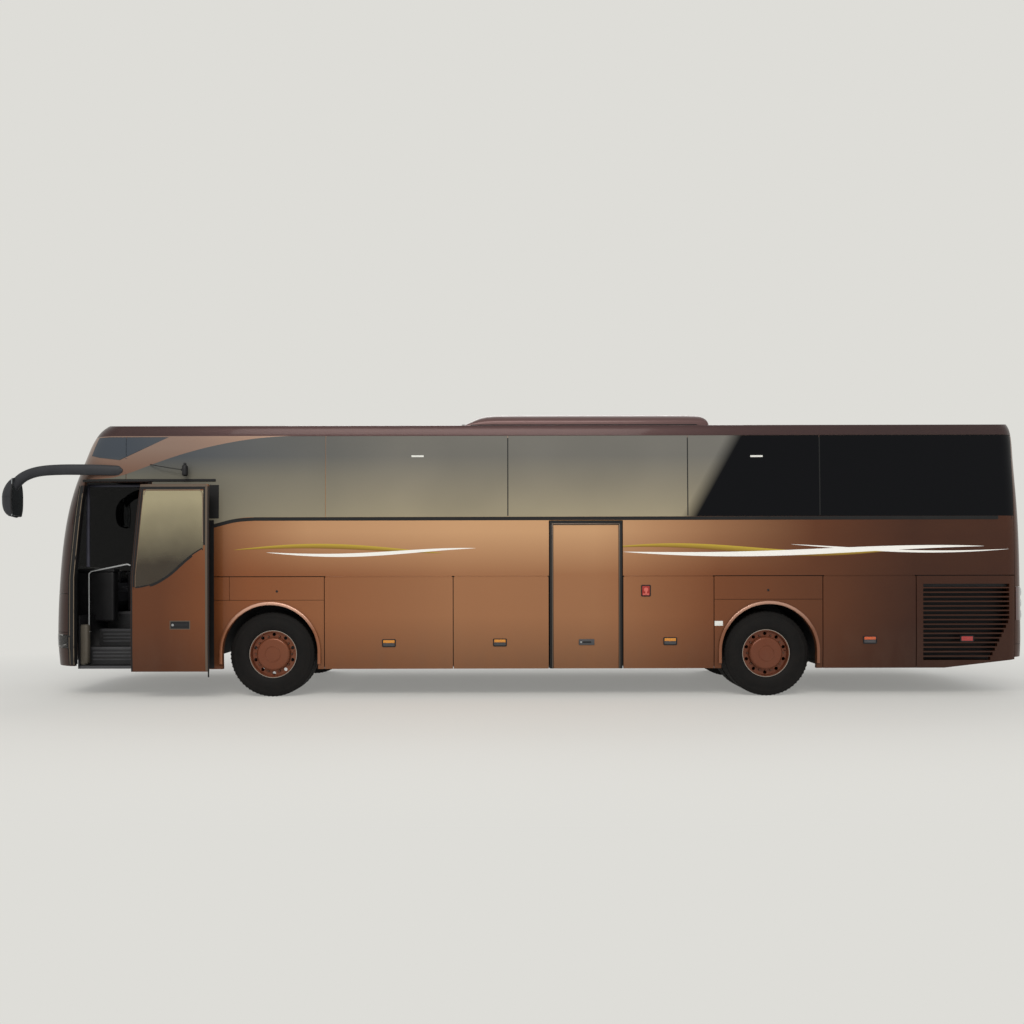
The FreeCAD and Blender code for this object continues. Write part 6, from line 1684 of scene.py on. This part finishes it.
def put_tail_fittings():
    """The blank rear plate and its lamps, the lid's handle, reflectors, marker lamps and the lid's slats."""
    level = 1.7
    hit, _ = on_tail(0.0, level, "engine_lid")
    blank_plate(hit.x - 0.002, level, 1, "engine_door", "rear_plate")
    lamps = [soft_box((hit.x - 0.01, y - 0.035, level + 0.072), (hit.x + 0.01, y + 0.035, level + 0.093),
                      0.007)
             for y in (-0.14, 0.14)]
    piece("plate_lamps", lamps, trim_black, "engine_door")
    latches = []
    for y in (-0.62, 0.62):
        hit, _ = on_tail(y, 0.72, "engine_lid")
        latches += [soft_box((hit.x - 0.012, y - 0.075, 0.692), (hit.x + 0.007, y + 0.075, 0.748), 0.012, 3),
                    soft_box((hit.x - 0.002, y - 0.06, 0.714), (hit.x + 0.014, y + 0.06, 0.734), 0.006, 3)]
    piece("lid_latches", latches, trim_black, "engine_door")
    slats = []
    for k in range(14):
        z = 1.02 + k * 0.034
        line = [on_tail(y / 10, z, "engine_lid") for y in range(-6, 7)]
        slats.append(laid_strip(line, 0.02, 0.0016))
    piece("lid_slats", slats, trim_black, "engine_door", 30.0)
    reflectors = []
    for y in (-0.98, 0.98):
        hit, _ = on_tail(y, 0.5)
        reflectors.append(soft_box((hit.x - 0.012, y - 0.07, 0.482), (hit.x + 0.004, y + 0.07, 0.518), 0.004))
    piece("rear_reflectors", reflectors, red)
    stop = laid_strip([on_tail(y / 20, 3.14) for y in range(-6, 7)], 0.03, 0.006)
    piece("high_stop_lamp", stop, red, crease=30.0)


put_tail_lamps()
put_grille_boxes()
put_tail_fittings()


# Inside

doorway_boxes = (
    ("cab_guards", trim_black, (((-5.24, -0.366, 1.0105), (-4.78, -0.338, 1.52), 0.012, 3),
                                ((-5.26, -0.372, 1.5), (-4.76, -0.332, 1.535), 0.012, 3),
                                ((-5.76, -0.735, 0.9), (-5.235, -0.6, 1.545), 0.03, 4),
                                ((-5.77, -0.745, 1.535), (-5.225, -0.59, 1.575), 0.015, 3))),
    ("stair_post", stone_trim, (((-5.49, -1.09, 0.385), (-5.385, -1.0, 0.885), 0.03, 4),)),
    ("stair_wall", trim_black, (((-5.5, -1.1, 0.36), (-5.47, -0.42, 1.0), 0.01),)),
    ("doorway_inner_frame", slate_trim, (((-5.415, -1.06, 1.6), (-5.375, -1.03, 2.6), 0.012, 3),
                                         ((-5.4, -1.06, 2.598), (-4.62, -1.03, 2.63), 0.012, 3),
                                         ((-4.655, -1.06, 1.4), (-4.62, -1.03, 2.52), 0.012, 3))),
)


def put_doorway_fittings():
    """What shows through the open entrance: grab rails, guards by the driver's place and riser trims."""
    rail_x, rail_y, rail_foot = -5.4, -1.02, 0.8
    rails = [tube([(rail_x, rail_y, 1.52), (-5.37, rail_y, 1.55), (-4.92, rail_y, 1.635),
                   (-4.88, rail_y, 1.62)],
                  0.013, 12),
             tube([(rail_x, rail_y, rail_foot), (rail_x, rail_y, 1.53)], 0.012, 12),
             spin([(0.0, 0.0), (0.0, 0.026), (0.008, 0.026), (0.01, 0.015), (0.011, 0.0)],
                  (rail_x, rail_y, rail_foot), (0, 0, -1), 20)]
    piece("entrance_rails", rails, steel)
    for name, finish, boxes in doorway_boxes:
        piece(name, [soft_box(*box) for box in boxes], finish)
    trims = []
    for step in range(3):
        z = step_foot + step * step_rise
        hit, _ = touch((-5.0, -1.6, z - 0.06), (0, 1, 0), "entry_steps")
        if hit is None:
            continue
        for foot in (z - 0.165, z - 0.12, z - 0.075):
            trims.append(soft_box((-5.38, hit.y - 0.004, foot), (-4.55, hit.y + 0.002, foot + 0.02), 0.0025,
                                  1))
    piece("riser_trims", trims, trim_grey)


def put_dashboard():
    """Instruments under a hood, a screen, rocker switches and round vents."""
    _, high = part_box("dashboard")

    def top_of(x, y):
        hit, _ = touch((x, y, 3.0), (0, 0, -1), "dashboard")
        return hit.z if hit else high.z

    x, y = -5.42, 0.64
    z = top_of(x, y)
    hood = []
    for k in range(13):
        a = pi * k / 12
        hood.append(Vector((x, y - 0.21 * cos(a), z + (0.085 * sin(a) ** 0.7 if 0 < k < 12 else 0.0))))
    section = [(-0.09, -0.006), (0.09, -0.006), (0.09, 0.006), (-0.09, 0.006)]
    outer = sweep(hood, section, up=Vector((1, 0, 0)))
    piece("instrument_hood", outer, trim_dark, crease=40.0)
    dials, marks = [], []
    mark_half = Vector((0.001, 0.0012, 0.003))
    for at in (-0.11, 0.0, 0.11):
        centre = Vector((x + 0.04, y + at, z + 0.036))
        radius = 0.044 if at else 0.036
        dials.append(spin([(0.0, 0.0), (0.0, radius), (0.006, radius * 1.04), (0.008, radius * 0.97),
                           (0.004, radius * 0.93), (0.003, 0.0)], centre, (1, 0, 0.3), 32))
        for k in range(9):
            a = radians(-130 + k * 32.5)
            tip = centre + Vector((0.006, radius * 0.8 * sin(a), radius * 0.8 * cos(a)))
            marks.append(soft_box(tip - mark_half, tip + mark_half, 0.0005, 1))
    piece("instrument_dials", dials, trim_black)
    piece("instrument_marks", marks, plate_white)
    switches, vents = [], []
    for row in range(2):
        for k in range(9):
            at = 0.2 - k * 0.052
            back = row * 0.05
            top = top_of(-5.36 + back, at)
            switches.append(soft_box((-5.38 + back, at - 0.02, top - 0.004),
                                     (-5.345 + back, at + 0.02, top + 0.009), 0.004, 2))
    for at in (-0.45, -0.3, 0.95, 1.08):
        top = top_of(-5.62, at)
        vents.append(spin([(0.0, 0.0), (0.0, 0.048), (0.009, 0.05), (0.012, 0.043), (0.004, 0.038),
                           (0.003, 0.0)],
                          (-5.62, at, top), (0, 0, 1), 28))
        vents += [soft_box((-5.66, at - 0.003 + k * 0.02, top + 0.002),
                           (-5.58, at + 0.003 + k * 0.02, top + 0.008), 0.002, 1) for k in (-1, 0, 1)]
    piece("dash_switches", switches, trim_grey)
    piece("dash_vents", vents, trim_black)
    top = top_of(-5.5, 0.1)
    screen = soft_box((-5.515, -0.06, top - 0.01), (-5.49, 0.22, top + 0.165), 0.012, 3)
    glass = soft_box((-5.492, -0.045, top + 0.012), (-5.486, 0.205, top + 0.152), 0.002, 1)
    piece("dash_screen", screen, trim_black)
    piece("dash_screen_face", glass, screen_face)


def put_wheel_boss():
    """The steering wheel's cover, thumb switches and the stalks behind it."""
    way = Vector((0.573576, 0, 0.819152))
    centre = Vector((-5.05512, 0.64, 1.52625))
    boss = spin([(-0.03, 0.0), (-0.03, 0.05), (0.0, 0.064), (0.012, 0.06), (0.018, 0.04), (0.02, 0.0)],
                centre, way, 32)
    piece("wheel_boss", boss, trim_black, "hand_wheel")
    across, rise = Vector((0, 1, 0)), way.cross(Vector((0, 1, 0))).normalized()
    pads = [set_in(soft_box((-0.022, -0.013, 0.0), (0.022, 0.013, 0.012), 0.004, 2),
                   centre + across * (0.105 * k) + way * 0.004, across, rise) for k in (-1, 1)]
    piece("wheel_switches", pads, trim_grey, "hand_wheel")
    stalks = []
    for k in (-1, 1):
        root = centre - way * 0.11 + across * (0.03 * k)
        stalks.append(tube([root, root + across * (0.1 * k) + way * 0.02,
                            root + across * (0.17 * k) + way * 0.035],
                           0.008, 10))
    piece("column_stalks", stalks, trim_black)


def put_rack_units():
    """Over each row a service unit with two air nozzles and two reading lamps, and the racks' edges."""
    low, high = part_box("parcel_racks")
    units, nozzles, lamps = [], [], []
    for row in range(row_count):
        x = first_row + row * row_pitch + 0.2
        if x < low.x + 0.2:
            continue
        for way in (-1, 1):
            y = way * 0.86
            hit, _ = touch((x, y, 1.9), (0, 0, 1), "parcel_racks")
            if hit is None:
                continue
            z = hit.z
            units.append(soft_box((x - 0.22, y - 0.1, z - 0.034), (x + 0.22, y + 0.1, z + 0.006), 0.014, 3))
            for k in (-1, 1):
                nozzles.append(spin([(0.0, 0.0), (0.0, 0.026), (0.01, 0.024), (0.014, 0.014), (0.014, 0.0)],
                                    (x + k * 0.14, y, z - 0.034), (0, 0, -1), 18))
                lamps.append(spin([(0.0, 0.0), (0.0, 0.02), (0.004, 0.019), (0.005, 0.0)],
                                  (x + k * 0.06, y, z - 0.034), (0, 0, -1), 18))
    piece("service_units", units, trim_grey)
    piece("air_nozzles", nozzles, trim_black)
    piece("reading_lamps", lamps, lamp_white)
    edges = [tube([(low.x + 0.01 + (high.x - low.x - 0.02) * k / 12, way * 0.845, low.z + 0.075)
                   for k in range(13)], 0.012, 10) for way in (-1, 1)]
    piece("rack_edges", edges, steel)


def put_ceiling():
    """The pale lining over the aisle with a row of lamps."""
    count, stations = 16, 24
    points = []
    for i in range(stations + 1):
        x = -4.6 + 10.2 * i / stations
        for k in range(count + 1):
            y = -0.72 + 1.44 * k / count
            points.append(Vector((x, y, roof_line(y) - 0.16)))
    faces = sheet(stations + 1, count + 1, True)
    piece("ceiling_lining", (points, faces), lining, crease=60.0)
    lamp_y = 0.42
    foot, top = roof_line(lamp_y) - 0.172, roof_line(lamp_y) - 0.158
    lamps = [soft_box((x - 0.25, y - 0.03, foot), (x + 0.25, y + 0.03, top), 0.005)
             for x in [-4.2 + k for k in range(10)] for y in (-lamp_y, lamp_y)]
    piece("ceiling_lamps", lamps, lamp_white)


put_doorway_fittings()
put_dashboard()
put_wheel_boss()
put_rack_units()
put_ceiling()
